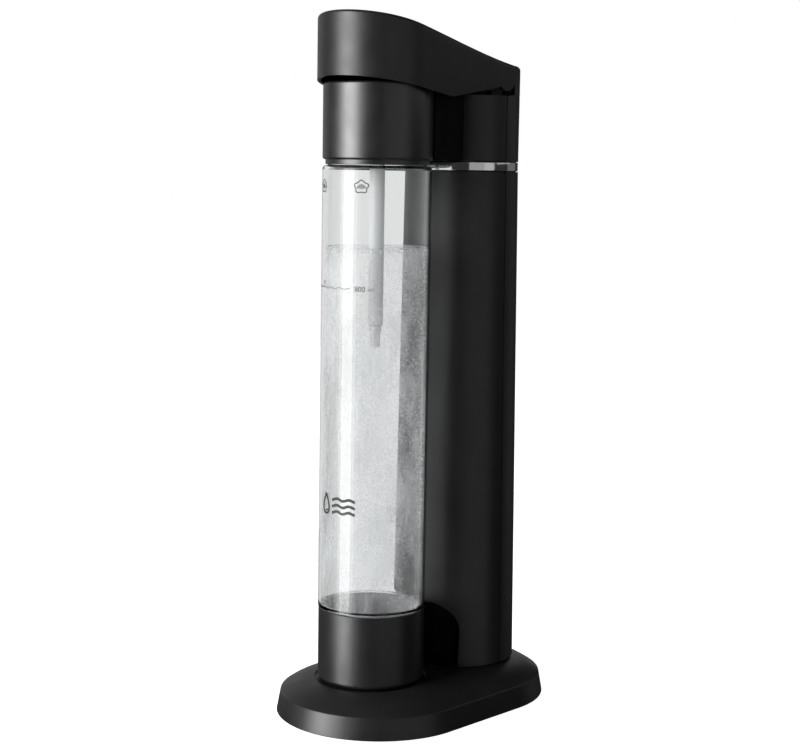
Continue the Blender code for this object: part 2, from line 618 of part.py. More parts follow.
def build_head(black, grey, steel, rubber, clear):
    inner = HEAD_R - WALL
    outline = [(0.0, HEAD_TOP), (HEAD_R - 1.5 * MM, HEAD_TOP), (HEAD_R - 0.4 * MM, HEAD_TOP - 0.5 * MM),
               (HEAD_R, HEAD_TOP - 1.5 * MM), (HEAD_R, HEAD_BOTTOM + 1.8 * MM),
               (HEAD_R - 0.6 * MM, HEAD_BOTTOM + 0.5 * MM), (HEAD_R - 1.8 * MM, HEAD_BOTTOM),
               (LIP_R, LIP_BOTTOM), (LIP_R - LIP_WALL, LIP_BOTTOM), (LIP_R - LIP_WALL, HEAD_BOTTOM + 2 * MM),
               (inner, HEAD_BOTTOM + 3 * MM), (inner, HEAD_TOP - WALL), (0.0, HEAD_TOP - WALL)]
    shell = turned_part("head_shell", outline, black, BOTTLE_Y, False)
    tongue = box_mesh("tongue", (-14 * MM, -7 * MM, 382 * MM), (14 * MM, 3.5 * MM, 393.5 * MM))
    join(shell, add_cutter("tongue", tongue))
    bore = rod_mesh("cut_tongue", 2.8 * MM, (-0.03, 0, TILT_AXIS.z), (0.03, 0, TILT_AXIS.z))
    cut(shell, add_cutter("cut_tongue", bore))

    outer = inner - GAP
    grip = NECK_R + 0.6 * MM
    groove = NECK_R + 3.4 * MM
    outline = [(outer, COLLAR_TOP), (outer, 368 * MM), (grip, 368 * MM), (grip, 371 * MM),
               (groove, 371.5 * MM),
               (groove, 377.5 * MM), (grip, 378 * MM), (grip, COLLAR_TOP)]
    collar = turned_part("bottle_collar", outline, grey, BOTTLE_Y, True, 40)
    for angle in LUG_ANGLES:
        turn = math.radians(angle + 30)
        x = math.cos(turn) * 21 * MM
        y = BOTTLE_Y + math.sin(turn) * 21 * MM
        slot = rod_mesh("slot_" + str(angle), 4.2 * MM, (x, y, 366 * MM), (x, y, 373 * MM))
        cut(collar, add_cutter("slot_" + str(angle), slot))

    low = COLLAR_TOP + GAP
    outline = [(30 * MM, MANIFOLD_TOP), (30 * MM, low), (5.2 * MM, low), (5.2 * MM, MANIFOLD_TOP)]
    turned_part("nozzle_manifold", outline, grey, BOTTLE_Y, True, 40)
    ring = tube_points(NECK_R - 0.5 * MM, 6.0 * MM, MOUTH_TOP + GAP, COLLAR_TOP)
    turned_part("bottle_seal", ring, rubber, BOTTLE_Y, True, 36)
    pipe = tube_points(4.7 * MM, 3.6 * MM, 248 * MM, 391 * MM)
    turned_part("nozzle_tube", pipe, clear, BOTTLE_Y, True, SMALL_STEPS)
    outline = [(0.9 * MM, 251 * MM), (3.3 * MM, 251 * MM), (3.3 * MM, 248 * MM - GAP), (3.9 * MM, 248 * MM - GAP),
               (3.9 * MM, 245.5 * MM), (3.1 * MM, 244 * MM), (3.1 * MM, 236 * MM), (2.2 * MM, 234.5 * MM),
               (0.9 * MM, 234.5 * MM)]
    turned_part("nozzle_tip", outline, clear, BOTTLE_Y, True, SMALL_STEPS)
    outline = rod_points(3.6 * MM, MANIFOLD_TOP + GAP, HEAD_TOP - WALL - GAP)
    turned_part("relief_valve", outline, steel, BOTTLE_Y - 16 * MM, False, 20)


# ---- bottle and its cup ----

BOTTLE_WALL = 1.6 * MM
CUP_BOTTOM = RECESS_FLOOR + 0.8 * MM
CUP_FLOOR = CUP_BOTTOM + 2.4 * MM
CUP_WALL = 1.8 * MM
FOOT_CENTRE_Z = CUP_FLOOR + 10.0 * MM   # centre of the bottle's rounded bottom corner


def bottle_outer():
    """Outer side of the bottle from its mouth down to the middle of its underside."""
    foot_r = CUP_R - CUP_WALL - GAP
    points = [(NECK_R - 0.6 * MM, MOUTH_TOP), (NECK_R, MOUTH_TOP - 0.6 * MM), (NECK_R, 367 * MM)]
    points += [(21.5 * MM, 362.5 * MM), (26.6 * MM, 356.5 * MM), (29.8 * MM, 350.5 * MM),
               (30.3 * MM, 346.3 * MM), (31.9 * MM, 345.9 * MM), (33.1 * MM, 344.9 * MM),
               (BOTTLE_R, 343.2 * MM)]
    points += [(BOTTLE_R, CUP_TOP + 0.9 * MM), (BOTTLE_R - 0.5 * MM, CUP_TOP + GAP), (foot_r, CUP_TOP + GAP)]
    points += arc(foot_r - 9 * MM, FOOT_CENTRE_Z, 9 * MM, 0, -75, 4)
    points += [(0.0, FOOT_CENTRE_Z - 4.5 * MM)]
    return points


def bottle_inner():
    """Inner side, from the middle of the floor up to the mouth."""
    inner_r = BOTTLE_R - BOTTLE_WALL
    foot_r = CUP_R - CUP_WALL - GAP - BOTTLE_WALL
    points = [(0.0, FOOT_CENTRE_Z - 2.8 * MM)]
    points += arc(foot_r - 7.4 * MM, FOOT_CENTRE_Z, 7.4 * MM, -75, 0, 4)
    points += [(foot_r, CUP_TOP), (inner_r, CUP_TOP + 3.0 * MM), (inner_r, 342.6 * MM)]
    points += [(31.4 * MM, 343.9 * MM), (28.8 * MM, 344.9 * MM), (28.3 * MM, 349.6 * MM),
               (25.2 * MM, 355.2 * MM),
               (20.0 * MM, 361.6 * MM), (18.4 * MM, 366 * MM), (18.4 * MM, MOUTH_TOP)]
    return points


def build_bottle(clear, black):
    bottle = turned_part("bottle_body", bottle_inner() + bottle_outer(), clear, BOTTLE_Y, False, 40)
    for angle in LUG_ANGLES:
        turn = math.radians(angle)
        size = (3.0 * MM, 3.2 * MM, 2.2 * MM)
        lug = box_mesh("lug_" + str(angle), (-size[0], -size[1], -size[2]), size)
        lug.transform(Matrix.Rotation(turn, 4, "Z"))
        place = (math.cos(turn) * 20.1 * MM, BOTTLE_Y + math.sin(turn) * 20.1 * MM, 374.5 * MM)
        join(bottle, add_cutter("lug_" + str(angle), lug, place))

    inner = CUP_R - CUP_WALL
    outline = [(0.0, CUP_FLOOR), (26 * MM, CUP_FLOOR), (inner, CUP_FLOOR + 4.5 * MM), (inner, CUP_TOP)]
    outline += [(CUP_R - 0.5 * MM, CUP_TOP), (CUP_R, CUP_TOP - 0.5 * MM)]
    outline += arc(CUP_R - 3 * MM, CUP_BOTTOM + 3 * MM, 3 * MM, 0, -90, 4)
    outline += [(0.0, CUP_BOTTOM)]
    turned_part("bottle_cup", outline, black, BOTTLE_Y, False, 48)


def build():
    global parts, cutters
    clear_scene()
    parts = make_collection("soda_carbonator")
    cutters = make_collection("cutters")
    black = make_material("black_satin", (0.018, 0.018, 0.019), 0.42)
    grey = make_material("grey_plastic", (0.16, 0.16, 0.17), 0.5)
    steel = make_material("plain_steel", (0.55, 0.55, 0.57), 0.3, 1.0)
    chrome = make_material("bright_chrome", (0.85, 0.86, 0.87), 0.12, 1.0)
    brass = make_material("brass", (0.72, 0.55, 0.25), 0.3, 1.0)
    rubber = make_material("rubber", (0.03, 0.03, 0.03), 0.8)
    clear = make_material("clear_plastic", (0.9, 0.93, 0.95), 0.05, 0.0, 0.25)
    gas_grey = make_material("cylinder_paint", (0.55, 0.57, 0.6), 0.35)

    build_base(black, rubber, steel)
    remove_rear = build_column(black, chrome)
    build_housing(black, remove_rear)
    build_tilt_pin(steel)
    build_gas(black, gas_grey, brass, steel, rubber)
    build_press(grey, steel)
    build_hose(rubber)
    build_lever(black, grey, steel)
    build_head(black, grey, steel, rubber, clear)
    build_bottle(clear, black)


build()
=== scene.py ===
"""Looks of a counter-top soda carbonator: shells, bottle, drink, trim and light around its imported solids."""

import json

import bmesh
import bpy
import numpy as np
from mathutils import Matrix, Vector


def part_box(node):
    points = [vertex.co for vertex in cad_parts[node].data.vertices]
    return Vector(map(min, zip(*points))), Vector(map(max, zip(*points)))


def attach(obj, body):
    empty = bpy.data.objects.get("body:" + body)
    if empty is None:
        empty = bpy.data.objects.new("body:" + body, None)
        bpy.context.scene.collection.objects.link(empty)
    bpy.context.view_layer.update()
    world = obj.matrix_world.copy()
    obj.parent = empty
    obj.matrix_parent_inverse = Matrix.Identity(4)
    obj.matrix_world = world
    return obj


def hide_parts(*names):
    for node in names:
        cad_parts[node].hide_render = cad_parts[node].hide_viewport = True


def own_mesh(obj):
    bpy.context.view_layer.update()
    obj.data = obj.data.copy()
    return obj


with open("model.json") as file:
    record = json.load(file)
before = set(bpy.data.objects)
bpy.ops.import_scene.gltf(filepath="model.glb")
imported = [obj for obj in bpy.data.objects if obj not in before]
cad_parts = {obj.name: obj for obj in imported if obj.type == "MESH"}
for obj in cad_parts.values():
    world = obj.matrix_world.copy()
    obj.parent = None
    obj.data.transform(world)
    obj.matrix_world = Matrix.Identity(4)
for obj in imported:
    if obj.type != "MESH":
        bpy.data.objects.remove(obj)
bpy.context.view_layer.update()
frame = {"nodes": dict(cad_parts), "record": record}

MM = 0.001
GAP = 0.3 * MM
WELD = 1e-6
SLIVER = 1e-7
EASED_ANGLE = 50


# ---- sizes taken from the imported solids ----

def size_of(node):
    """Lowest and highest corner of a node, as arrays in metres."""
    low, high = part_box(node)
    return np.array(low), np.array(high)


head_low, head_high = size_of("head_shell")
cup_low, cup_high = size_of("bottle_cup")
bottle_low, bottle_high = size_of("bottle_body")
base_low, base_high = size_of("base_shell")
column_low, column_high = size_of("column_shell")
ring_low, ring_high = size_of("trim_ring_front")
cover_high = size_of("rear_cover")[1]
hood_low, hood_high = size_of("lever_cover")
tube_low, tube_high = size_of("nozzle_tube")
tip_low, tip_high = size_of("nozzle_tip")

BOTTLE_Y = (bottle_low[1] + bottle_high[1]) / 2
COLUMN_Y = -BOTTLE_Y
BOTTLE_R = bottle_high[0]
HEAD_R = head_high[0]
CUP_R = cup_high[0]
COLUMN_FOOT_R = column_high[0]
COLUMN_R = 36.0 * MM
WALL = 2.2 * MM
CUP_TOP = cup_high[2]


# ---- turning arrays of points into pieces ----

def softened(corners, steps=7, loop=False):
    """Outline through (a, b, radius) corners: an arc of the radius touches both sides at each corner."""
    spots = np.array([c[:2] for c in corners], float)
    parts = []
    last = len(corners) - 1
    for i, (_, _, radius) in enumerate(corners):
        if radius <= 0 or (not loop and i in (0, last)):
            parts.append(spots[i][None])
            continue
        back = spots[i - 1] - spots[i]
        ahead = spots[(i + 1) % len(corners)] - spots[i]
        back /= np.linalg.norm(back)
        ahead /= np.linalg.norm(ahead)
        half = np.arccos(np.clip(back @ ahead, -1, 1)) / 2
        middle = spots[i] + (back + ahead) / np.linalg.norm(back + ahead) * radius / np.sin(half)
        first = spots[i] + back * radius / np.tan(half) - middle
        final = spots[i] + ahead * radius / np.tan(half) - middle
        turn = np.pi - 2 * half
        t = np.linspace(0, 1, steps)[:, None]
        parts.append(middle + (np.sin((1 - t) * turn) * first + np.sin(t * turn) * final) / np.sin(turn))
    return np.concatenate(parts)


def turned(outline, y, steps=144, start=0.0, stop=2 * np.pi):
    """(radius, z) points carried round the vertical axis at y: x = r sin a, y = y - r cos a."""
    whole = stop - start > 6.28
    a = np.linspace(start, stop, steps, endpoint=not whole)[None, :]
    r, z = outline[:, 0, None], outline[:, 1, None]
    return np.stack([r * np.sin(a), y - r * np.cos(a), z + 0 * a], -1), whole


def slab(low, high, edge, steps=5):
    """A box with round upright edges: a softened rectangle at each level, drawn in at both ends."""
    (x0, y0, z0), (x1, y1, z1) = low, high
    corners = [(x0, y0, edge), (x1, y0, edge), (x1, y1, edge), (x0, y1, edge)]
    plan = softened(corners, steps, loop=True)
    centre = plan.mean(0)
    small = centre + (plan - centre) * (1 - edge / (np.abs(plan - centre).max(0)))
    levels = [(centre + 0 * plan, z0), (small, z0), (plan, z0 + edge), (plan, z1 - edge), (small, z1),
              (centre + 0 * plan, z1)]
    return np.stack([np.concatenate([p, np.full((len(p), 1), z)], 1) for p, z in levels]), True


def bare_mesh(name, points, faces):
    """A mesh straight from arrays of points and of faces with the same number of corners."""
    mesh = bpy.data.meshes.new(name)
    mesh.vertices.add(len(points))
    mesh.vertices.foreach_set("co", points.astype(np.float32).ravel())
    mesh.loops.add(faces.size)
    mesh.loops.foreach_set("vertex_index", faces.astype(np.int32).ravel())
    mesh.polygons.add(len(faces))
    mesh.polygons.foreach_set("loop_start", np.arange(len(faces), dtype=np.int32) * faces.shape[1])
    mesh.update(calc_edges=True)
    return mesh


def placed(name, mesh, body, finish, sharp=40):
    """Shades a mesh, gives it its finish and hangs it on a body."""
    mesh.shade_smooth()
    mesh.set_sharp_from_angle(angle=np.radians(sharp))
    mesh.materials.append(finish)
    made = bpy.data.objects.new(name, mesh)
    bpy.context.scene.collection.objects.link(made)
    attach(made, body)
    return made


def piece(name, sheets, body, finish, nodes=(), away_from=None, sharp=40):
    """One mesh from (points, wraps) grids. Neighbours make quads, and points up to WELD apart are joined.

    A closed form is turned outwards. An open sheet is turned away from a given point instead: its quads are
    reversed where the sum of (normal . way from the point to the quad's middle) is below zero."""
    points, faces, count = [], [], 0
    for grid, wraps in sheets:
        rows, across = grid.shape[:2]
        i = np.arange(rows - 1)[:, None]
        j = np.arange(across if wraps else across - 1)[None, :]
        k = (j + 1) % across
        quads = np.stack([i * across + j, i * across + k, (i + 1) * across + k, (i + 1) * across + j], -1)
        quads = quads.reshape(-1, 4)
        if away_from is not None:
            a, b, c, d = (grid.reshape(-1, 3)[quads[:, n]] for n in range(4))
            leaning = np.sum(np.cross(c - a, d - b) * ((a + b + c + d) / 4 - np.array(away_from)))
            quads = quads[:, ::-1] if leaning < 0 else quads
        faces.append(quads + count)
        points.append(grid.reshape(-1, 3))
        count += rows * across
    mesh = bare_mesh(name, np.concatenate(points), np.concatenate(faces))
    form = bmesh.new()
    form.from_mesh(mesh)
    bmesh.ops.remove_doubles(form, verts=form.verts, dist=WELD)
    bmesh.ops.dissolve_degenerate(form, edges=form.edges, dist=SLIVER)
    if away_from is None:
        rims = [e for e in form.edges if e.is_boundary]
        if rims:
            bmesh.ops.holes_fill(form, edges=rims, sides=0)
        bmesh.ops.recalc_face_normals(form, faces=form.faces)
    form.to_mesh(mesh)
    form.free()
    made = placed(name, mesh, body, finish, sharp)
    if nodes:
        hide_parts(*nodes)
    return made


def thicken(made, wall, edge=0.35 * MM, even=True):
    """Gives an open sheet its wall on the inner side, with eased edges."""
    shell = made.modifiers.new("Wall", "SOLIDIFY")
    shell.thickness = wall
    shell.offset = -1.0
    shell.use_even_offset = even
    ease = made.modifiers.new("Edges", "BEVEL")
    ease.width = edge
    ease.segments = 3
    ease.limit_method = "ANGLE"
    ease.angle_limit = np.radians(EASED_ANGLE)
    ease.harden_normals = True
    ease.use_clamp_overlap = True


# ---- finishes ----

def new_finish(name):
    """A new material with its node tree and its Principled shader."""
    finish = bpy.data.materials.new(name)
    finish.use_nodes = True
    tree = finish.node_tree
    return finish, tree, tree.nodes["Principled BSDF"]


def noise(tree, scale, detail=4.0, roughness=0.5, stretch=None):
    """Cloudy noise on Object coordinates, stretched by three factors where given."""
    place = tree.nodes.new("ShaderNodeTexCoord")
    cloud = tree.nodes.new("ShaderNodeTexNoise")
    cloud.inputs["Scale"].default_value = scale
    cloud.inputs["Detail"].default_value = detail
    cloud.inputs["Roughness"].default_value = roughness
    spot = place.outputs["Object"]
    if stretch:
        drawn = tree.nodes.new("ShaderNodeMapping")
        drawn.inputs["Scale"].default_value = stretch
        tree.links.new(spot, drawn.inputs["Vector"])
        spot = drawn.outputs["Vector"]
    tree.links.new(spot, cloud.inputs["Vector"])
    return cloud.outputs["Fac"]


def between(tree, value, low, high, start=0.3, stop=0.7):
    """Carries a noise value from start..stop to low..high."""
    span = tree.nodes.new("ShaderNodeMapRange")
    span.inputs["From Min"].default_value = start
    span.inputs["From Max"].default_value = stop
    span.inputs["To Min"].default_value = low
    span.inputs["To Max"].default_value = high
    tree.links.new(value, span.inputs["Value"])
    return span.outputs["Result"]


def tinted(tree, value, dark, light):
    """A two-colour ramp over the middle part of a noise value."""
    ramp = tree.nodes.new("ShaderNodeValToRGB")
    for stop, place, colour in zip(ramp.color_ramp.elements, (0.3, 0.7), (dark, light)):
        stop.position = place
        stop.color = (*colour, 1)
    tree.links.new(value, ramp.inputs["Fac"])
    return ramp.outputs["Color"]


def raised(tree, shader, value, strength, depth):
    """Relief on a shader from a noise value."""
    bump = tree.nodes.new("ShaderNodeBump")
    bump.inputs["Strength"].default_value = strength
    bump.inputs["Distance"].default_value = depth
    tree.links.new(value, bump.inputs["Height"])
    tree.links.new(bump.outputs["Normal"], shader.inputs["Normal"])


def moulded(name, dark, light, gloss=(0.34, 0.42), grain=2600.0, depth=0.02 * MM):
    """Moulded plastic: a faint drift of tone, a fine leathery grain and patchy gloss."""
    finish, tree, shader = new_finish(name)
    tree.links.new(tinted(tree, noise(tree, 35.0), dark, light), shader.inputs["Base Color"])
    tree.links.new(between(tree, noise(tree, 90.0, 3.0), *gloss), shader.inputs["Roughness"])
    raised(tree, shader, noise(tree, grain, 2.0), 0.25, depth)
    return finish


def metal(name, dark, light, gloss=(0.2, 0.3)):
    """Bare metal with turning marks: noise squeezed along the upright axis, so that it runs round it."""
    finish, tree, shader = new_finish(name)
    tree.links.new(tinted(tree, noise(tree, 60.0), dark, light), shader.inputs["Base Color"])
    shader.inputs["Metallic"].default_value = 1.0
    marks = noise(tree, 80.0, 3.0, 0.5, (1.0, 1.0, 30.0))
    tree.links.new(between(tree, marks, *gloss), shader.inputs["Roughness"])
    return finish


def clear_finish(name, tint, gloss, index):
    """Clear bottle plastic: full transmission with a slight drawn ripple in the wall."""
    finish, tree, shader = new_finish(name)
    shader.inputs["Base Color"].default_value = (*tint, 1)
    shader.inputs["Transmission Weight"].default_value = 1.0
    shader.inputs["IOR"].default_value = index
    tree.links.new(between(tree, noise(tree, 120.0), *gloss), shader.inputs["Roughness"])
    raised(tree, shader, noise(tree, 18.0, 2.0, 0.4, (1.0, 1.0, 0.25)), 0.12, 0.4 * MM)
    return finish


def fizz_finish():
    """Fizzing drink: a milky film, mostly see-through.

    Its cover is fine specks plus broad clouds plus a dense zone where the bottle narrows into its cup."""
    finish, tree, shader = new_finish("fizzing_drink")
    shader.inputs["Base Color"].default_value = (0.62, 0.63, 0.64, 1)
    shader.inputs["Roughness"].default_value = 0.5
    shader.inputs["Transmission Weight"].default_value = 0.4
    shader.inputs["IOR"].default_value = 1.15
    fine = between(tree, noise(tree, 620.0, 3.0, 0.7), 0.0, 0.22, 0.5, 0.7)
    broad = between(tree, noise(tree, 42.0, 5.0, 0.6, (1.0, 1.0, 0.4)), 0.0, 0.55, 0.42, 0.66)
    place = tree.nodes.new("ShaderNodeTexCoord")
    parts = tree.nodes.new("ShaderNodeSeparateXYZ")
    tree.links.new(place.outputs["Object"], parts.inputs["Vector"])
    foot = between(tree, parts.outputs["Z"], 0.55, 0.0, CUP_TOP - 1 * MM, CUP_TOP + 2.5 * MM)
    total = fine
    for more in (broad, foot):
        both = tree.nodes.new("ShaderNodeMath")
        both.operation = "ADD"
        tree.links.new(total, both.inputs[0])
        tree.links.new(more, both.inputs[1])
        total = both.outputs["Value"]
    tree.links.new(total, shader.inputs["Alpha"])
    raised(tree, shader, noise(tree, 500.0, 3.0), 0.4, 0.2 * MM)
    return finish


def bubble_finish():
    """Thin bright skin of a gas bubble."""
    finish, tree, shader = new_finish("bubble_skin")
    tone = tinted(tree, noise(tree, 300.0), (0.75, 0.77, 0.78), (1, 1, 1))
    tree.links.new(tone, shader.inputs["Base Color"])
    shader.inputs["Roughness"].default_value = 0.1
    shader.inputs["Transmission Weight"].default_value = 0.55
    shader.inputs["IOR"].default_value = 1.12
    return finish


def frosted_finish():
    """Natural white nozzle plastic that lets light through."""
    finish, tree, shader = new_finish("frosted_nozzle")
    streaks = noise(tree, 70.0, 3.0, 0.5, (1, 1, 0.2))
    tone = tinted(tree, streaks, (0.68, 0.69, 0.70), (0.78, 0.78, 0.78))
    tree.links.new(tone, shader.inputs["Base Color"])
    shader.inputs["Roughness"].default_value = 0.4
    shader.inputs["Transmission Weight"].default_value = 0.35
    shader.inputs["IOR"].default_value = 1.3
    return finish


black = moulded("satin_black", (0.014, 0.014, 0.0145), (0.019, 0.019, 0.0195))
glossed_black = moulded("head_black", (0.008, 0.008, 0.0085), (0.012, 0.012, 0.0125), (0.33, 0.40))
# painted shade: a near-black, weakly reflecting copy of the black moulding, standing in for the shade on parts
# deep inside the machine
painted_shade_black = moulded("near_black_painted_shade", (0.004, 0.004, 0.004), (0.006, 0.006, 0.006), (0.6, 0.7))
for finish, shine in ((glossed_black, 0.95), (painted_shade_black, 0.12)):
    finish.node_tree.nodes["Principled BSDF"].inputs["Specular IOR Level"].default_value = shine
# painted shade: a darkened copy of the steel for the hinge parts, standing in for the deep shade of the hinge
# gap
shade_dark_steel = metal("steel_darkened_as_shade", (0.03, 0.03, 0.03), (0.05, 0.05, 0.05), (0.4, 0.55))
grey = moulded("grey_moulding", (0.14, 0.14, 0.15), (0.18, 0.18, 0.19), (0.45, 0.55))
rubber = moulded("foot_rubber", (0.022, 0.022, 0.022), (0.035, 0.035, 0.035), (0.75, 0.9), 900.0, 0.05 * MM)
print_ink = moulded("printed_ink", (0.02, 0.02, 0.02), (0.035, 0.035, 0.035), (0.5, 0.6))
lacquer = moulded("lacquered_cylinder", (0.50, 0.52, 0.55), (0.58, 0.60, 0.63), (0.25, 0.35))
chrome = metal("bright_chrome", (0.80, 0.81, 0.82), (0.90, 0.91, 0.92), (0.05, 0.11))
steel = metal("plain_steel", (0.50, 0.50, 0.52), (0.60, 0.60, 0.62))
brass = metal("machined_brass", (0.66, 0.50, 0.22), (0.76, 0.60, 0.30))
clear = clear_finish("clear_bottle", (0.86, 0.87, 0.87), (0.0, 0.03), 1.38)
fizz = fizz_finish()
bubble_skin = bubble_finish()
frosted = frosted_finish()

FINISHES = {"black_satin": black, "grey_plastic": grey, "clear_plastic": frosted, "chrome": chrome,
            "steel": steel, "brass": brass, "cylinder_paint": lacquer, "rubber": rubber}
for part in frame["record"]["subparts"]:
    frame["nodes"][part["node"]].material_slots[0].material = FINISHES[part["material_slot"]]
# painted shade: the cradle inside the column takes the near-black shade finish
frame["nodes"]["cylinder_cradle"].material_slots[0].material = painted_shade_black
# painted shade: the hinge bracket, pin and lever frame take the darkened steel of the shaded hinge gap
for node in ("hinge_bracket", "lever_pin", "lever_frame"):
    frame["nodes"][node].material_slots[0].material = shade_dark_steel


# ---- foot of the machine ----

BASE_SPAN = 33.5 * MM
BASE_TOP = base_high[2]
CREASE = 14.6 * MM
DRAFT = 2.5 * MM
CROWN = 28.0 * MM
RECESS_R = 35.2 * MM
RECESS_FLOOR = 23.2 * MM
FOOT_WALL = 3.0 * MM


def crown_height(inset):
    """Height of the foot's top at a distance in from its crease: crease + rise (1 - (1 - inset / CROWN)^2),
    level past CROWN."""
    t = np.clip(inset / CROWN, 0, 1)
    return CREASE + (BASE_TOP - CREASE) * (1 - (1 - t) ** 2)


def racetrack_from(y, half, a):
    """Where rays from (0, y) at angles a meet a racetrack: its sides, or the circle at either end."""
    dx, dy = np.sin(a), -np.cos(a)
    side = half / np.maximum(np.abs(dx), 1e-9)
    centre = np.sign(y + side * dy) * BASE_SPAN
    off = centre - y
    along = off * dy
    round_end = along + np.sqrt(np.maximum(along ** 2 - off ** 2 + half ** 2, 0))
    t = np.where(np.abs(y + side * dy) <= BASE_SPAN, side, round_end)
    return np.stack([t * dx, y + t * dy], -1)


def foot_sheet():
    """Rings round the recess: its floor and lip, the crowned top, the crease, the wall, then back inside."""
    a = np.linspace(0, 2 * np.pi, 320, endpoint=False)
    ring = np.stack([np.sin(a), -np.cos(a)], -1)
    wide = base_high[0] - DRAFT
    rows = []

    def crowned(flat, drop=0.0):
        """Lifts plan points to the crowned top, less a drop."""
        beyond = np.maximum(np.abs(flat[:, 1]) - BASE_SPAN, 0)
        inset = wide - np.hypot(flat[:, 0], beyond)
        return np.concatenate([flat, (crown_height(inset) - drop)[:, None]], 1)

    def level(flat, z):
        """Lifts plan points to one height."""
        return np.concatenate([flat, np.full((len(flat), 1), z)], 1)

    middle = np.array([0, BOTTLE_Y])
    rows.append(level(middle + 0 * ring, RECESS_FLOOR))
    rows.append(level(middle + ring * (RECESS_R - 0.4 * MM), RECESS_FLOOR))
    rows.append(level(middle + ring * (RECESS_R - 0.1 * MM), RECESS_FLOOR + 0.1 * MM))
    for out, drop in ((0.0, 0.45), (0.06, 0.22), (0.2, 0.06), (0.45, 0.0)):
        rows.append(crowned(middle + ring * (RECESS_R + out * MM), drop * MM))
    lip = middle + ring * (RECESS_R + 0.45 * MM)
    edge = racetrack_from(BOTTLE_Y, wide - FOOT_WALL, a)
    for t in np.linspace(0, 1, 22)[1:]:
        rows.append(crowned(lip + (edge - lip) * t))
    rim = softened([(wide - FOOT_WALL, crown_height(FOOT_WALL), 0), (wide, CREASE, 1.5 * MM),
                    (base_high[0], base_low[2], 0.5 * MM), (base_high[0] - FOOT_WALL, base_low[2], 0.5 * MM),
                    (wide - FOOT_WALL, CREASE - 4.0 * MM, 0)])
    for half, z in rim[1:]:
        rows.append(level(racetrack_from(BOTTLE_Y, half, a), z))
    under = racetrack_from(BOTTLE_Y, wide - 4.0 * MM, a)
    for t in np.linspace(0, 1, 8):
        rows.append(crowned(under + (middle - under) * t, FOOT_WALL))
    return np.stack(rows), True


piece("foot_moulding", [foot_sheet()], "machine", black, ["base_shell"])


# ---- column, rear cover and band ----

RING_LOW = ring_low[2]
RING_HIGH = ring_high[2]
COLUMN_TOP = column_high[2]
COLUMN_LOW = column_low[2]
ARCH_HALF = 29.3 * MM
ARCH_FOOT_HALF = 28.6 * MM
ARCH_TOP = 66.5 * MM
ARCH_ROUND = 17.5 * MM
GROOVE = 1.4 * MM
RAISED_LOW = 391.0 * MM
RAISED_HIGH = 392.0 * MM
NOTCH_Y = 9.6 * MM
CAP_FRONT = 49.0 * MM


def column_radius(z):
    """The column widens evenly down to its foot: top radius + (foot radius - top radius) depth / tall."""
    t = np.clip((COLUMN_TOP - z) / (COLUMN_TOP - COLUMN_LOW), 0, 1)
    return COLUMN_R + (COLUMN_FOOT_R - COLUMN_R) * t


def resampled(outline, count):
    """Evenly spaced points along an outline."""
    run = np.concatenate([[0], np.cumsum(np.linalg.norm(np.diff(outline, axis=0), axis=1))])
    t = np.linspace(0, run[-1], count)
    return np.stack([np.interp(t, run, outline[:, 0]), np.interp(t, run, outline[:, 1])], -1)


def column_sheet():
    """Lines fan out over the column's face from the arch to the seams and the top edge.

    In bearing and height: point = arch + (frame - arch) t^1.25, with the bearing wrapped at column_radius."""
    seam = np.pi / 2 + 0.5 * MM / COLUMN_R
    arch = softened([(ARCH_FOOT_HALF, COLUMN_LOW, 0), (ARCH_HALF, ARCH_TOP, ARCH_ROUND),
                     (-ARCH_HALF, ARCH_TOP, ARCH_ROUND), (-ARCH_FOOT_HALF, COLUMN_LOW, 0)], 24)
    arch = resampled(arch, 181)
    inner = np.stack([np.arcsin(arch[:, 0] / column_radius(arch[:, 1])), arch[:, 1]], -1)
    tall = (COLUMN_TOP - COLUMN_LOW) / COLUMN_R
    frame_line = np.array([(seam, 0), (seam, tall), (-seam, tall), (-seam, 0)])
    outer = resampled(frame_line, 181)
    outer[:, 1] = COLUMN_LOW + outer[:, 1] * COLUMN_R
    t = np.linspace(0, 1, 90)[:, None, None] ** 1.25
    spot = inner[None] + (outer - inner)[None] * t
    a, z = spot[..., 0], spot[..., 1]
    r = column_radius(z)
    return np.stack([r * np.sin(a), COLUMN_Y - r * np.cos(a), z], -1), False


column = piece("column_front", [column_sheet()], "machine", black, ["column_shell"],
               away_from=(0, COLUMN_Y, 0.2))
thicken(column, WALL, 0.6 * MM)


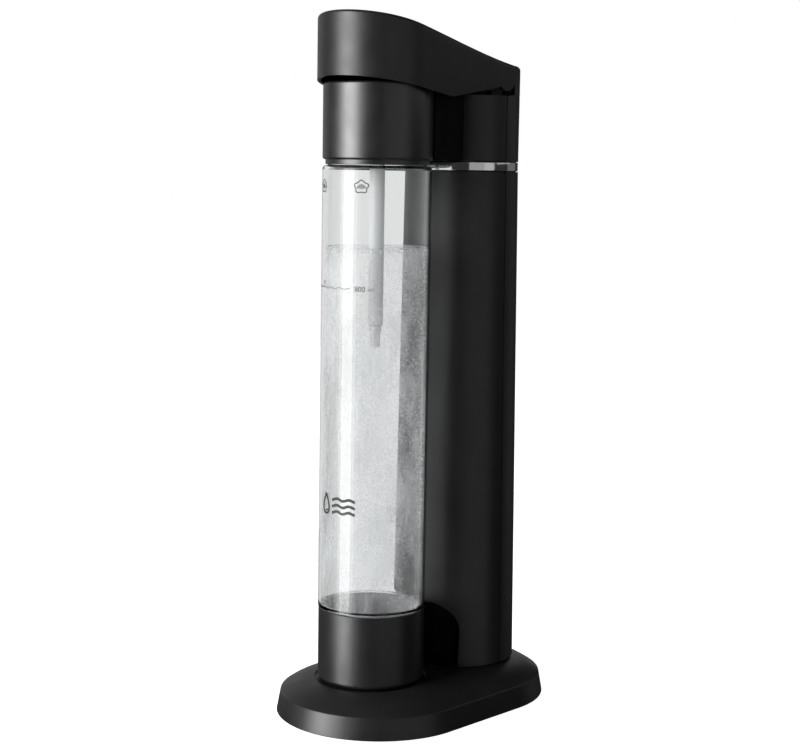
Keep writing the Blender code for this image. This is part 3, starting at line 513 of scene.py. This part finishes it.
def cover_sheet():
    """Part rings round the back: x = r sin a, y = column's y + r cos a, as far as each row's reach.

    Rows: the flared wall, the band's groove, the raised top. Its cap is drawn forward to a straight edge."""
    seam = np.pi / 2 - 1.0 * MM / COLUMN_R
    top = cover_high[2]
    step = np.arccos(NOTCH_Y / COLUMN_R)
    wall = [(COLUMN_FOOT_R, COLUMN_LOW, seam)]
    wall += [(column_radius(z), z, seam) for z in np.linspace(COLUMN_LOW, COLUMN_TOP, 12)[1:]]
    wall += [(COLUMN_R - GROOVE, COLUMN_TOP, seam), (COLUMN_R - GROOVE, RING_HIGH + GAP, seam)]
    wall += [(COLUMN_R, RING_HIGH + GAP, seam), (COLUMN_R, RAISED_LOW, seam), (COLUMN_R, RAISED_HIGH, step)]
    bend = softened([(COLUMN_R, RAISED_HIGH, 0), (COLUMN_R, top, 3.0 * MM), (0, top, 0)], 9)[1:-1]
    wall += [(r, z, step) for r, z in bend]
    a = np.linspace(-1, 1, 121)[None, :]
    r, z, reach = (np.array(values)[:, None] for values in zip(*wall))
    sheet = np.stack([r * np.sin(a * reach), COLUMN_Y + r * np.cos(a * reach), z + 0 * a], -1)
    rim = sheet[-1]
    front = rim.copy()
    front[:, 1] = np.minimum(rim[:, 1], CAP_FRONT)
    t = np.linspace(0, 1, 6)[1:, None, None]
    return np.concatenate([sheet, rim[None] + (front - rim)[None] * t]), False


cover = piece("rear_cover_moulding", [cover_sheet()], "cover", black, ["rear_cover"],
              away_from=(0, COLUMN_Y, 0.2))
thicken(cover, WALL - 1.0 * MM, 0.35 * MM, even=False)


def band_outline(inner):
    """The band's cross-section: a flat face with eased edges."""
    return softened([(inner, RING_LOW, 0.2 * MM), (COLUMN_R - 0.1 * MM, RING_LOW, 0.7 * MM),
                     (COLUMN_R - 0.1 * MM, RING_HIGH, 0.7 * MM), (inner, RING_HIGH, 0.2 * MM)], 6, loop=True)


def band(name, node, body, inner, start, stop):
    """The band's cross-section carried round the column from one bearing to another."""
    loop = band_outline(inner)
    grid, _ = turned(np.concatenate([loop, loop[:1]]), COLUMN_Y, 97, start, stop)
    return piece(name, [(grid, False)], body, chrome, [node])


SEAM = np.pi / 2 + 0.65 * MM / COLUMN_R
band("chrome_band_front", "trim_ring_front", "machine", COLUMN_R - WALL, -SEAM, SEAM)
band("chrome_band_rear", "trim_ring_rear", "cover", COLUMN_R - 1.1 * MM, SEAM + GAP / COLUMN_R,
     2 * np.pi - SEAM - GAP / COLUMN_R)


# ---- tilting head ----

LIP_TALL = 2.9 * MM
LIP_R = 32.0 * MM
LIP_WALL = 1.4 * MM
TONGUE_LOW = (-14 * MM, -6.4 * MM, 382 * MM)
TONGUE_HIGH = (14 * MM, 3.5 * MM, 393.5 * MM)


def head_sheets():
    """The head's closed cross-section turned round the bottle's axis: outer wall, lip, inner wall; and the
    tongue for the tilt pin."""
    low, high = head_low[2], head_high[2]
    inside = HEAD_R - WALL
    wall_foot = low + LIP_TALL
    lip_inside = LIP_R - LIP_WALL
    outline = softened([(0, high, 0), (HEAD_R, high, 1.6 * MM), (HEAD_R, wall_foot, 1.7 * MM),
                        (LIP_R, wall_foot, 0.1 * MM), (LIP_R, low, 0.4 * MM), (lip_inside, low, 0.3 * MM),
                        (lip_inside, wall_foot + 2 * MM, 0.1 * MM), (inside, wall_foot + 3 * MM, 0.1 * MM),
                        (inside, high - WALL, 1.0 * MM), (0, high - WALL, 0)], 8)
    return [turned(outline, BOTTLE_Y, 192), slab(TONGUE_LOW, TONGUE_HIGH, 1.0 * MM)]


piece("head_moulding", head_sheets(), "head", glossed_black, ["head_shell"])


# ---- lever hood ----

HOOD_R = hood_high[0]
HOOD_FRONT = hood_low[1]
HOOD_BACK = hood_high[1]
HOOD_EDGE = 2.2 * MM
HOOD_POINTS = 260
CREST_FRONT = 437.7
CREST_BACK = 410.3
HINGE_Y = 38 * MM
HINGE_Z = 402 * MM
HINGE_LUG_R = 8 * MM
LUG_FRONT = 31.7


def crest_height(y):
    """Top of the hood: a straight fall plus a smooth step, 0.72 t + 0.28 t^2 (3 - 2t), steepest half-way."""
    t = np.clip((y - HOOD_FRONT) / (HOOD_BACK - HOOD_FRONT), 0, 1)
    return CREST_FRONT * MM + (CREST_BACK - CREST_FRONT) * MM * (0.72 * t + 0.28 * t * t * (3 - 2 * t))


def rim_height(y):
    """Lower edge of the hood: two slopes that meet in a low corner, then the underside of a round lug,
    hinge's z - sqrt(radius^2 - (y - hinge's y)^2)."""
    slopes = np.interp(y, np.array([-80.0, -16.0, -13.0, -9.0, 30.3, LUG_FRONT]) * MM,
                       np.array([399.6, 388.9, 388.55, 389.1, 396.0, 397.1]) * MM)
    lug = HINGE_Z - np.sqrt(np.maximum(HINGE_LUG_R ** 2 - (y - HINGE_Y) ** 2, 0))
    return np.where(y > LUG_FRONT * MM, np.minimum(lug, 404 * MM), slopes)


def hood_plan(inset):
    """Plan of the hood at an inset: a round front, straight sides and a flat back with eased corners."""
    half = HOOD_R - inset
    back = HOOD_BACK - inset
    a = np.linspace(-np.pi / 2, np.pi / 2, 90)
    nose = np.stack([half * np.sin(a), BOTTLE_Y - half * np.cos(a)], -1)
    corner = max(1.6 * MM - inset, 0.2 * MM)
    tail = softened([(half, BOTTLE_Y, 0), (half, back, corner), (-half, back, corner),
                     (-half, BOTTLE_Y, 0)], 6)
    loop = np.concatenate([nose, tail[1:]])
    return resampled(loop, HOOD_POINTS + 1)[:-1]


def hood_sheet():
    """Rings from the rim up the wall and over a quarter-round edge, then lines in plan to a middle spine."""
    wall = hood_plan(0.0)
    low = rim_height(wall[:, 1])
    high = crest_height(wall[:, 1]) - HOOD_EDGE
    rows = [np.column_stack([wall, low + (high - low) * t]) for t in np.linspace(0, 1, 12)]
    for turn in np.linspace(0, np.pi / 2, 8)[1:]:
        flat = hood_plan(HOOD_EDGE * (1 - np.cos(turn)))
        rows.append(np.column_stack([flat, crest_height(flat[:, 1]) - HOOD_EDGE * (1 - np.sin(turn))]))
    rim = rows[-1]
    spine = np.clip(rim[:, 1], BOTTLE_Y, HOOD_BACK - 25 * MM)
    for t in np.linspace(0, 1, 12)[1:]:
        y = rim[:, 1] * (1 - t) + spine * t
        rows.append(np.column_stack([rim[:, 0] * (1 - t), y, crest_height(y)]))
    return np.stack(rows), True


hood = piece("lever_hood", [hood_sheet()], "lever", black, ["lever_cover"],
             away_from=(0, -0.02, 0.41))
thicken(hood, 2.0 * MM, 0.6 * MM, even=False)


# ---- bottle, cup and drink ----

BOTTLE_WALL = 1.5 * MM
NECK_R = 20.0 * MM
CUP_WALL = 1.8 * MM
FOOT_Z = cup_low[2] + 12.4 * MM
FOOT_R = CUP_R - CUP_WALL - GAP
WATER_TOP = 296.0 * MM
BOTTLE_LUG_R = 20.1
BOTTLE_LUG_Z = 374.5
FILM = 0.15 * MM


def bottle_outline():
    """Outer side of the bottle from mouth to underside, then the inner side back up."""
    top = bottle_high[2]
    outer = softened([(NECK_R - BOTTLE_WALL, top, 0), (NECK_R, top, 0.5 * MM), (NECK_R, 366 * MM, 4 * MM),
                      (30.1 * MM, 352 * MM, 4 * MM), (30.3 * MM, 346.3 * MM, 0.4 * MM),
                      (BOTTLE_R, 345.9 * MM, 2.6 * MM),
                      (BOTTLE_R, CUP_TOP + 0.6 * MM, 0.5 * MM), (FOOT_R, CUP_TOP + GAP, 0.3 * MM),
                      (FOOT_R, FOOT_Z - 9 * MM, 8.5 * MM), (0, FOOT_Z - 4.5 * MM, 0)], 9)
    wall = BOTTLE_WALL
    inner = softened([(0, FOOT_Z - 2.8 * MM, 0), (FOOT_R - wall, FOOT_Z - 7 * MM, 7 * MM),
                      (FOOT_R - wall, CUP_TOP + 1 * MM, 2 * MM),
                      (BOTTLE_R - wall, CUP_TOP + 2.6 * MM, 2 * MM),
                      (BOTTLE_R - wall, 344.6 * MM, 1.6 * MM), (28.6 * MM, 344.9 * MM, 0.6 * MM),
                      (28.4 * MM, 350.6 * MM, 4 * MM),
                      (NECK_R - wall, 365 * MM, 4 * MM), (NECK_R - wall, top, 0)], 9)
    return np.concatenate([outer, inner])


lugs = []
for turn in np.radians([90, 210, 330]):
    grid, wraps = slab((-3 * MM, -3.2 * MM, -2.2 * MM), (3 * MM, 3.2 * MM, 2.2 * MM), 0.6 * MM)
    spin = np.array([[np.cos(turn), np.sin(turn), 0], [-np.sin(turn), np.cos(turn), 0], [0, 0, 1]])
    middle = [np.cos(turn) * BOTTLE_LUG_R * MM, BOTTLE_Y + np.sin(turn) * BOTTLE_LUG_R * MM,
              BOTTLE_LUG_Z * MM]
    lugs.append((grid @ spin + middle, wraps))
bottle = piece("clear_bottle", [turned(bottle_outline(), BOTTLE_Y, 180)] + lugs, "bottle", clear,
               ["bottle_body"], sharp=60)
bottle.visible_shadow = False

cup = softened([(0, cup_low[2] + 2.4 * MM, 0), (CUP_R - CUP_WALL, cup_low[2] + 2.4 * MM, 5 * MM),
                (CUP_R - CUP_WALL, CUP_TOP, 0.3 * MM), (CUP_R, CUP_TOP, 0.5 * MM),
                (CUP_R, cup_low[2], 3.0 * MM), (0, cup_low[2], 0)], 9)
piece("bottle_cup_moulding", [turned(cup, BOTTLE_Y, 180)], "bottle", black, ["bottle_cup"])

DRINK_R = BOTTLE_R - BOTTLE_WALL - FILM
DRINK_FOOT_R = FOOT_R - BOTTLE_WALL - FILM
drink = softened([(0, WATER_TOP, 0), (DRINK_R - 1.2 * MM, WATER_TOP, 2 * MM),
                  (DRINK_R, WATER_TOP + 0.9 * MM, 0.1 * MM),
                  (DRINK_R, CUP_TOP + 2.8 * MM, 2 * MM), (DRINK_FOOT_R, CUP_TOP + 1.0 * MM, 2 * MM),
                  (DRINK_FOOT_R, FOOT_Z - 7 * MM, 7 * MM), (0, FOOT_Z - 2.6 * MM, 0)], 8)
piece("fizzing_drink", [turned(drink, BOTTLE_Y, 144)], "bottle", fizz)


BUBBLES = 5200
BUBBLE_SEED = 11


def bubbles(count):
    """Small twenty-faced balls: some on the wall, some in rising clouds, some in the froth on top.

    A bubble at radius r and bearing b sits at x = r sin b, y = bottle's y - r cos b. A cloud is a row of
    (x, y, z, spread across, spread up), and its bubbles lie at its middle plus spread times normal noise."""
    rng = np.random.default_rng(BUBBLE_SEED)
    low = CUP_TOP + 4 * MM
    tall = WATER_TOP - low
    room = DRINK_R - 0.9 * MM
    b = rng.uniform(0, 2 * np.pi, count)
    r = room * np.sqrt(rng.uniform(0, 1, count))
    z = low + tall * rng.uniform(0, 1, count) ** 0.8
    kind = rng.uniform(0, 1, count)
    wall = kind < 0.42
    r[wall] = room - np.abs(rng.normal(0, 0.5 * MM, wall.sum()))
    z[wall] = low + tall * rng.uniform(0, 1, wall.sum()) ** 0.6
    froth = kind > 0.88
    z[froth] = WATER_TOP - np.abs(rng.normal(0, 2.2 * MM, froth.sum())) - 0.6 * MM
    x, y = r * np.sin(b), -r * np.cos(b)
    clouds = np.array([(4, -6, 165, 9, 17), (14, 12, 250, 8, 30), (-8, -14, 262, 10, 14),
                       (16, 4, 200, 9, 40), (2, 2, 228, 7, 18)]) * MM
    drift = (kind > 0.42) & (kind < 0.74)
    which = clouds[rng.integers(0, len(clouds), drift.sum())]
    x[drift] = which[:, 0] + rng.normal(0, 1, drift.sum()) * which[:, 3]
    y[drift] = which[:, 1] + rng.normal(0, 1, drift.sum()) * which[:, 3]
    z[drift] = which[:, 2] + rng.normal(0, 1, drift.sum()) * which[:, 4]
    far = np.maximum(np.hypot(x, y) / room, 1)
    centre = np.stack([x / far, BOTTLE_Y + y / far, np.clip(z, low, WATER_TOP - 0.6 * MM)], -1)
    size = (0.10 + 0.36 * rng.uniform(0, 1, count) ** 2) * MM
    g = (1 + 5 ** 0.5) / 2
    ball = np.array([(-1, g, 0), (1, g, 0), (-1, -g, 0), (1, -g, 0), (0, -1, g), (0, 1, g), (0, -1, -g),
                     (0, 1, -g), (g, 0, -1), (g, 0, 1), (-g, 0, -1), (-g, 0, 1)]) / np.hypot(1, g)
    sides = np.array([(0, 11, 5), (0, 5, 1), (0, 1, 7), (0, 7, 10), (0, 10, 11), (1, 5, 9), (5, 11, 4),
                      (11, 10, 2), (10, 7, 6), (7, 1, 8), (3, 9, 4), (3, 4, 2), (3, 2, 6), (3, 6, 8),
                      (3, 8, 9), (4, 9, 5), (2, 4, 11), (6, 2, 10), (8, 6, 7), (9, 8, 1)])
    points = (centre[:, None] + ball[None] * size[:, None, None]).reshape(-1, 3)
    faces = (sides[None] + 12 * np.arange(count)[:, None, None]).reshape(-1, 3)
    return points, faces


placed("rising_bubbles", bare_mesh("rising_bubbles", *bubbles(BUBBLES)), "bottle", bubble_skin, 180)


# ---- printing on the bottle ----

INK = 0.05 * MM
INK_STANDOFF = 0.02 * MM
FILL_LINE = 272.3 * MM
DIGITS_AT = 14.0 * MM
DIGIT_STEP = 2.3 * MM
DRINK_SIGN_AT = 16.5 * MM
DRINK_SIGN_Z = 333.4 * MM
DROP_AT = -8.0 * MM
DROP_Z = 139 * MM
BARS_Z = (142.6, 138.6, 134.6)
FAR_SIGNS_Z = 122
FAR_GLASS_BEARING = 202
FAR_RING_BEARING = 183


def on_bottle(flat, depth):
    """Wraps flat (along, height) points round the bottle: along / radius is the bearing."""
    r = BOTTLE_R + depth
    b = flat[..., 0] / BOTTLE_R
    return np.stack([r * np.sin(b), BOTTLE_Y - r * np.cos(b), flat[..., 1]], -1)


def stroke(path, width, loop=False):
    """A printed line: a flat four-sided bar as thick as the ink, carried along a path in (along, height).

    Its sides are the path plus and minus half the width times the path's unit normal."""
    path = np.array(path, float)
    if loop:
        ahead = np.roll(path, -1, 0) - np.roll(path, 1, 0)
    else:
        ahead = np.gradient(path, axis=0)
    side = np.stack([-ahead[:, 1], ahead[:, 0]], -1) / np.linalg.norm(ahead, axis=1)[:, None] * width / 2
    sides = [(path + side, 0.0), (path + side, INK), (path - side, INK), (path - side, 0.0)]
    grid = np.stack([on_bottle(flat, depth + INK_STANDOFF) for flat, depth in sides], 1)
    return (np.concatenate([grid, grid[:1]]) if loop else grid), True


def ring_path(along, height, wide, tall, steps=36, start=0.0, stop=2 * np.pi):
    """An ellipse or part of one: along + wide sin a, height + tall cos a."""
    a = np.linspace(start, stop, steps, endpoint=stop - start < 6.28)
    return np.stack([along + wide * np.sin(a), height + tall * np.cos(a)], -1)


def line(*corners, steps=24):
    """Evenly spaced points along straight runs."""
    return resampled(np.array(corners, float), steps)


def printing():
    """Fill line and its volume, two small drink signs, and a plain drop sign with three bars."""
    mark = FILL_LINE
    thin = 0.35 * MM
    s = np.linspace(-30, 10, 160) * MM
    strokes = [stroke(np.stack([s, mark + 0.4 * MM * np.sin(s / (1.3 * MM))], -1), thin)]
    for k, two in enumerate((True, False, False)):
        spot = DIGITS_AT + k * DIGIT_STEP
        if two:
            strokes += [stroke(ring_path(spot, mark + dz * MM, 0.75 * MM, 0.75 * MM), 0.4 * MM, True)
                        for dz in (0.75, -0.75)]
        else:
            strokes.append(stroke(ring_path(spot, mark, 0.8 * MM, 1.5 * MM), 0.4 * MM, True))
    unit = DIGITS_AT + 7.6 * MM
    foot = mark - 1.25 * MM
    pen = 0.28 * MM
    for start in (0.0, 1.1):
        hump = ring_path(unit + (start + 0.55) * MM, mark - 0.25 * MM, 0.55 * MM, 0.6 * MM, 14,
                         -np.pi / 2, np.pi / 2)
        strokes.append(stroke(hump, pen))
    for along in (0.0, 1.1, 2.2):
        leg = line((unit + along * MM, foot), (unit + along * MM, mark - 0.25 * MM), steps=4)
        strokes.append(stroke(leg, pen))
    tall_leg = line((unit + 3.3 * MM, foot), (unit + 3.3 * MM, mark + 1.25 * MM), steps=4)
    strokes.append(stroke(tall_leg, pen))
    a = np.linspace(0, 2 * np.pi, 120, endpoint=False)
    for centre in (-DRINK_SIGN_AT, DRINK_SIGN_AT):
        lobes = (4.1 + 0.55 * np.cos(5 * a)) * MM
        cloud = np.stack([centre + lobes * np.sin(a), DRINK_SIGN_Z + 0.86 * lobes * np.cos(a)], -1)
        strokes.append(stroke(cloud, 0.6 * MM, True))
        for size in (0.75, 1.7, 2.6):
            arc = ring_path(centre, 332.0 * MM, size * MM, size * MM, 20, -1.35, 1.35)
            strokes.append(stroke(arc, 0.55 * MM))
    pointer = [(-15.0, 3.6), (-12.6, 3.6), (-13.8, 1.6)]
    corners = [(along * MM, mark + up * MM) for along, up in pointer + pointer[:1]]
    strokes.append(stroke(line(*corners), thin))
    t = np.linspace(0, 2 * np.pi, 80, endpoint=False)
    half_width = 4.2 * MM * np.sin(t) * np.sin(t / 2) ** 1.2
    drop = np.stack([DROP_AT + half_width, DROP_Z + 6.2 * MM * np.cos(t)], -1)
    strokes.append(stroke(drop, 1.5 * MM, True))
    strokes.append(stroke(ring_path(DROP_AT, 136.4 * MM, 1.7 * MM, 1.7 * MM, 16, 1.9, 3.6), 0.8 * MM))
    s = np.linspace(-2.0, 15.0, 60) * MM
    for height in BARS_Z:
        bar = np.stack([s, height * MM + 0.6 * MM * np.sin(s / (1.4 * MM))], -1)
        strokes.append(stroke(bar, 1.7 * MM))
    around = np.radians(FAR_GLASS_BEARING) * BOTTLE_R
    glass = [(-3.6, 4.5), (3.6, 4.5), (1.4, -0.5), (0.0, -1.0), (0.0, -4.5), (2.4, -4.5),
             (-2.4, -4.5), (0.0, -4.5), (0.0, -1.0), (-1.4, -0.5), (-3.6, 4.5)]
    for corner, following in zip(glass, glass[1:]):
        ends = [(around + x * MM, (FAR_SIGNS_Z + z) * MM) for x, z in (corner, following)]
        strokes.append(stroke(line(*ends, steps=6), 0.4 * MM))
    far_ring = ring_path(np.radians(FAR_RING_BEARING) * BOTTLE_R, FAR_SIGNS_Z * MM, 3.2 * MM, 3.6 * MM)
    strokes.append(stroke(far_ring, 0.4 * MM, True))
    return strokes


piece("bottle_printing", printing(), "bottle", print_ink, sharp=30)


# ---- nozzle ----

def nozzle_outlines():
    """Closed cross-sections of the pipe and of its stepped point, as (radius, z)."""
    tube = softened([(3.6 * MM, tube_low[2], 0.2 * MM), (3.6 * MM, tube_high[2], 0.2 * MM),
                     (4.7 * MM, tube_high[2], 0.2 * MM), (4.7 * MM, tube_low[2], 0.5 * MM)], 5, loop=True)
    low = tip_low[2]
    tip = softened([(0.9 * MM, tip_high[2], 0), (3.3 * MM, tip_high[2], 0.2 * MM),
                    (3.3 * MM, tube_low[2] - GAP, 0), (3.9 * MM, tube_low[2] - GAP, 0.3 * MM),
                    (3.8 * MM, low + 10.5 * MM, 1.0 * MM), (3.1 * MM, low + 8.5 * MM, 1.0 * MM),
                    (3.0 * MM, low, 1.0 * MM), (0.9 * MM, low, 0)], 6)
    return tube, tip


tube, tip = nozzle_outlines()
piece("nozzle_pipe", [turned(np.concatenate([tube, tube[:1]]), BOTTLE_Y, 64)], "head", frosted,
      ["nozzle_tube"])
piece("nozzle_point", [turned(np.concatenate([tip, tip[:1]]), BOTTLE_Y, 64)], "head", frosted,
      ["nozzle_tip"])


# ---- upper housing with its bridge to the head ----

BRIDGE_HALF = 24.0 * MM
HEAD_ROOM = 1.2 * MM
FLOOR_INSET = 2.3 * MM
FLOOR_BACK = 12 * MM


def housing_sheets():
    """Two upright walls, each round the column and then straight to the head, and a floor between them.

    The walls end, and the floor starts, on a circle of radius `room` round the head's axis."""
    low, high = size_of("upper_housing")
    half = BRIDGE_HALF
    room = HEAD_R + HEAD_ROOM
    a = np.linspace(SEAM, np.arcsin(half / COLUMN_R), 60)
    arc = np.stack([COLUMN_R * np.sin(a), COLUMN_Y - COLUMN_R * np.cos(a)], -1)
    front = BOTTLE_Y + np.sqrt(room ** 2 - half ** 2)
    y = np.linspace(arc[-1, 1], front, 24)[1:]
    plan = np.concatenate([arc, np.column_stack([np.full(len(y), half), y])])
    levels = np.linspace(low[2], high[2], 7)
    right = np.stack([np.column_stack([plan, np.full(len(plan), z)]) for z in levels])
    x = np.linspace(-1, 1, 41)[None, :] * (half - FLOOR_INSET)
    t = np.linspace(0, 1, 21)[:, None]
    start = BOTTLE_Y + np.sqrt(room ** 2 - x ** 2)
    floor_y = start + (FLOOR_BACK - start) * t
    bottom = np.stack([x + 0 * t, floor_y, np.full(floor_y.shape, low[2])], -1)
    return [(right, False), (right * [-1, 1, 1], False), (bottom, False)]


housing = piece("housing_moulding", housing_sheets(), "machine", black, ["upper_housing"],
                away_from=(0, 10 * MM, 372 * MM))
# painted shade: the bridge's flat faces take the near-black, dull shade finish, standing in for the deep shade
# they lie in
housing.data.materials.append(painted_shade_black)
middles = np.empty(3 * len(housing.data.polygons), np.float32)
housing.data.polygons.foreach_get("center", middles)
painted_shade_faces = np.abs(middles[0::3]) < BRIDGE_HALF + 0.01 * MM
housing.data.polygons.foreach_set("material_index", painted_shade_faces.astype(np.int32))
thicken(housing, WALL, 0.4 * MM)


# ---- return spring under the press plate ----

SPRING_WIRE = 0.8 * MM
SPRING_TURNS = 4
spring_low, spring_high = size_of("press_spring")


def spring_sheet():
    """A round wire of radius w on a helix, at bearing a and wire angle b: r = reach + w cos b, x = r cos a,
    y = middle + r sin a, z = rise(a) + w sin b."""
    low, high = spring_low, spring_high
    wire = SPRING_WIRE
    middle = (low[1] + high[1]) / 2
    reach = (high[0] - low[0]) / 2 - wire
    a = np.linspace(0, 2 * np.pi * SPRING_TURNS, 40 * SPRING_TURNS)[:, None]
    rise = low[2] + wire + (high[2] - low[2] - 2 * wire) * a / a[-1]
    b = np.linspace(0, 2 * np.pi, 12, endpoint=False)[None, :]
    r = reach + wire * np.cos(b)
    return np.stack([r * np.cos(a), middle + r * np.sin(a), rise + wire * np.sin(b)], -1), True


spring = piece("return_spring", [spring_sheet()], "machine", steel, ["press_spring"])
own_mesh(spring)


# ---- floor, camera and light ----

FLOOR_HALF = 12
FLOOR_LINES = 9
CAMERA_SPOT = (0.72126, -0.78041, 0.34386)
CAMERA_YAW = 43.348
CAMERA_PITCH = 6.979
CAMERA_ROLL = 0.01601
CAMERA_SENSOR = 36.0
CAMERA_LENS = 75.245
LIGHT_AIM = (0, 0, 0.22)
ROOM_GLOW = 0.03


def floor():
    """A level grid, white to the eye and left out of what the pieces reflect."""
    side = np.linspace(-FLOOR_HALF, FLOOR_HALF, FLOOR_LINES)
    x, y = np.meshgrid(side, side)
    mesh = bpy.data.meshes.new("floor")
    grid = np.stack([x, y, 0 * x], -1)
    n = FLOOR_LINES
    i = np.arange(n - 1)[:, None]
    j = np.arange(n - 1)[None, :]
    quads = np.stack([i * n + j, i * n + j + 1, (i + 1) * n + j + 1, (i + 1) * n + j], -1)
    mesh.from_pydata(grid.reshape(-1, 3).tolist(), [], quads.reshape(-1, 4).tolist())
    made = bpy.data.objects.new("floor", mesh)
    bpy.context.scene.collection.objects.link(made)
    finish, tree, shader = new_finish("pale_floor")
    tree.links.new(tinted(tree, noise(tree, 3.0), (0.93, 0.93, 0.93), (0.95, 0.95, 0.95)),
                   shader.inputs["Base Color"])
    shader.inputs["Roughness"].default_value = 0.7
    shader.inputs["Emission Color"].default_value = (1, 1, 1, 1)
    shader.inputs["Emission Strength"].default_value = 1.0
    mesh.materials.append(finish)
    made.visible_glossy = False
    made.visible_diffuse = False
    made.visible_transmission = False


def camera():
    """A camera to the right of the front, a little above the middle and tipped slightly down."""
    yaw, pitch, roll = np.radians(CAMERA_YAW), np.radians(CAMERA_PITCH), CAMERA_ROLL
    ahead = np.array([-np.sin(yaw) * np.cos(pitch), np.cos(yaw) * np.cos(pitch), -np.sin(pitch)])
    right = np.array([np.cos(yaw), np.sin(yaw), 0])
    up = np.cross(right, ahead)
    axes = [np.cos(roll) * right + np.sin(roll) * up, np.cos(roll) * up - np.sin(roll) * right, -ahead]
    view = bpy.data.cameras.new("camera")
    view.sensor_width = CAMERA_SENSOR
    view.lens = CAMERA_LENS
    view.clip_end = 20.0
    made = bpy.data.objects.new("camera", view)
    place = np.eye(4)
    place[:3, :3] = np.array(axes).T
    place[:3, 3] = CAMERA_SPOT
    made.matrix_world = Matrix(place.tolist())
    bpy.context.scene.collection.objects.link(made)
    bpy.context.scene.camera = made


def soft_box(name, bearing, distance, height, width, tall, power):
    """A rectangular soft light at a bearing from the front, facing the middle of the machine.

    Rays through glass don't see it, because they would take on its glow in full."""
    lamp = bpy.data.lights.new(name, "AREA")
    lamp.shape = "RECTANGLE"
    lamp.size = width
    lamp.size_y = tall
    lamp.energy = power
    made = bpy.data.objects.new(name, lamp)
    a = np.radians(bearing)
    spot = np.array([np.sin(a) * distance, -np.cos(a) * distance, height])
    aim = np.array(LIGHT_AIM) - spot
    aim /= np.linalg.norm(aim)
    right = np.cross(aim, [0, 0, 1])
    right /= np.linalg.norm(right)
    place = np.eye(4)
    place[:3, :3] = np.array([right, np.cross(right, aim), -aim]).T
    place[:3, 3] = spot
    made.matrix_world = Matrix(place.tolist())
    made.visible_transmission = False
    bpy.context.scene.collection.objects.link(made)
    return made


def surroundings():
    """A white room straight ahead of the view and through glass, and a dim one in reflections."""
    world = bpy.data.worlds.new("studio")
    world.use_nodes = True
    tree = world.node_tree
    path = tree.nodes.new("ShaderNodeLightPath")
    seen = tree.nodes.new("ShaderNodeMath")
    seen.operation = "MAXIMUM"
    tree.links.new(path.outputs["Is Camera Ray"], seen.inputs[0])
    tree.links.new(path.outputs["Is Transmission Ray"], seen.inputs[1])
    bright = tree.nodes["Background"]
    bright.inputs["Color"].default_value = (1, 1, 1, 1)
    bright.inputs["Strength"].default_value = 1.0
    dim = tree.nodes.new("ShaderNodeBackground")
    dim.inputs["Color"].default_value = (1, 1, 1, 1)
    dim.inputs["Strength"].default_value = ROOM_GLOW
    mix = tree.nodes.new("ShaderNodeMixShader")
    tree.links.new(seen.outputs["Value"], mix.inputs["Fac"])
    tree.links.new(dim.outputs["Background"], mix.inputs[1])
    tree.links.new(bright.outputs["Background"], mix.inputs[2])
    tree.links.new(mix.outputs["Shader"], tree.nodes["World Output"].inputs["Surface"])
    bpy.context.scene.world = world


floor()
camera()
surroundings()
soft_box("left_window", -16, 1.6, 0.3, 0.7, 1.9, 26)
soft_box("left_window_edge", -16, 1.65, 0.3, 1.15, 1.9, 23)
soft_box("left_halo", -16, 1.75, 0.3, 1.8, 1.9, 11)
soft_box("left_fill", -118, 2.0, 0.6, 3.2, 2.0, 7)
soft_box("right_fill", 84, 1.8, 0.2, 1.9, 2.2, 4.1)
soft_box("right_strip", 99, 1.7, 0.3, 0.62, 1.8, 0.4)
soft_box("rear_fill", 165, 2.0, 0.4, 1.2, 1.8, 0.8)
soft_box("rear_high", 137, 2.0, 0.95, 1.5, 0.9, 1.4)
bpy.context.scene.view_settings.view_transform = "Standard"
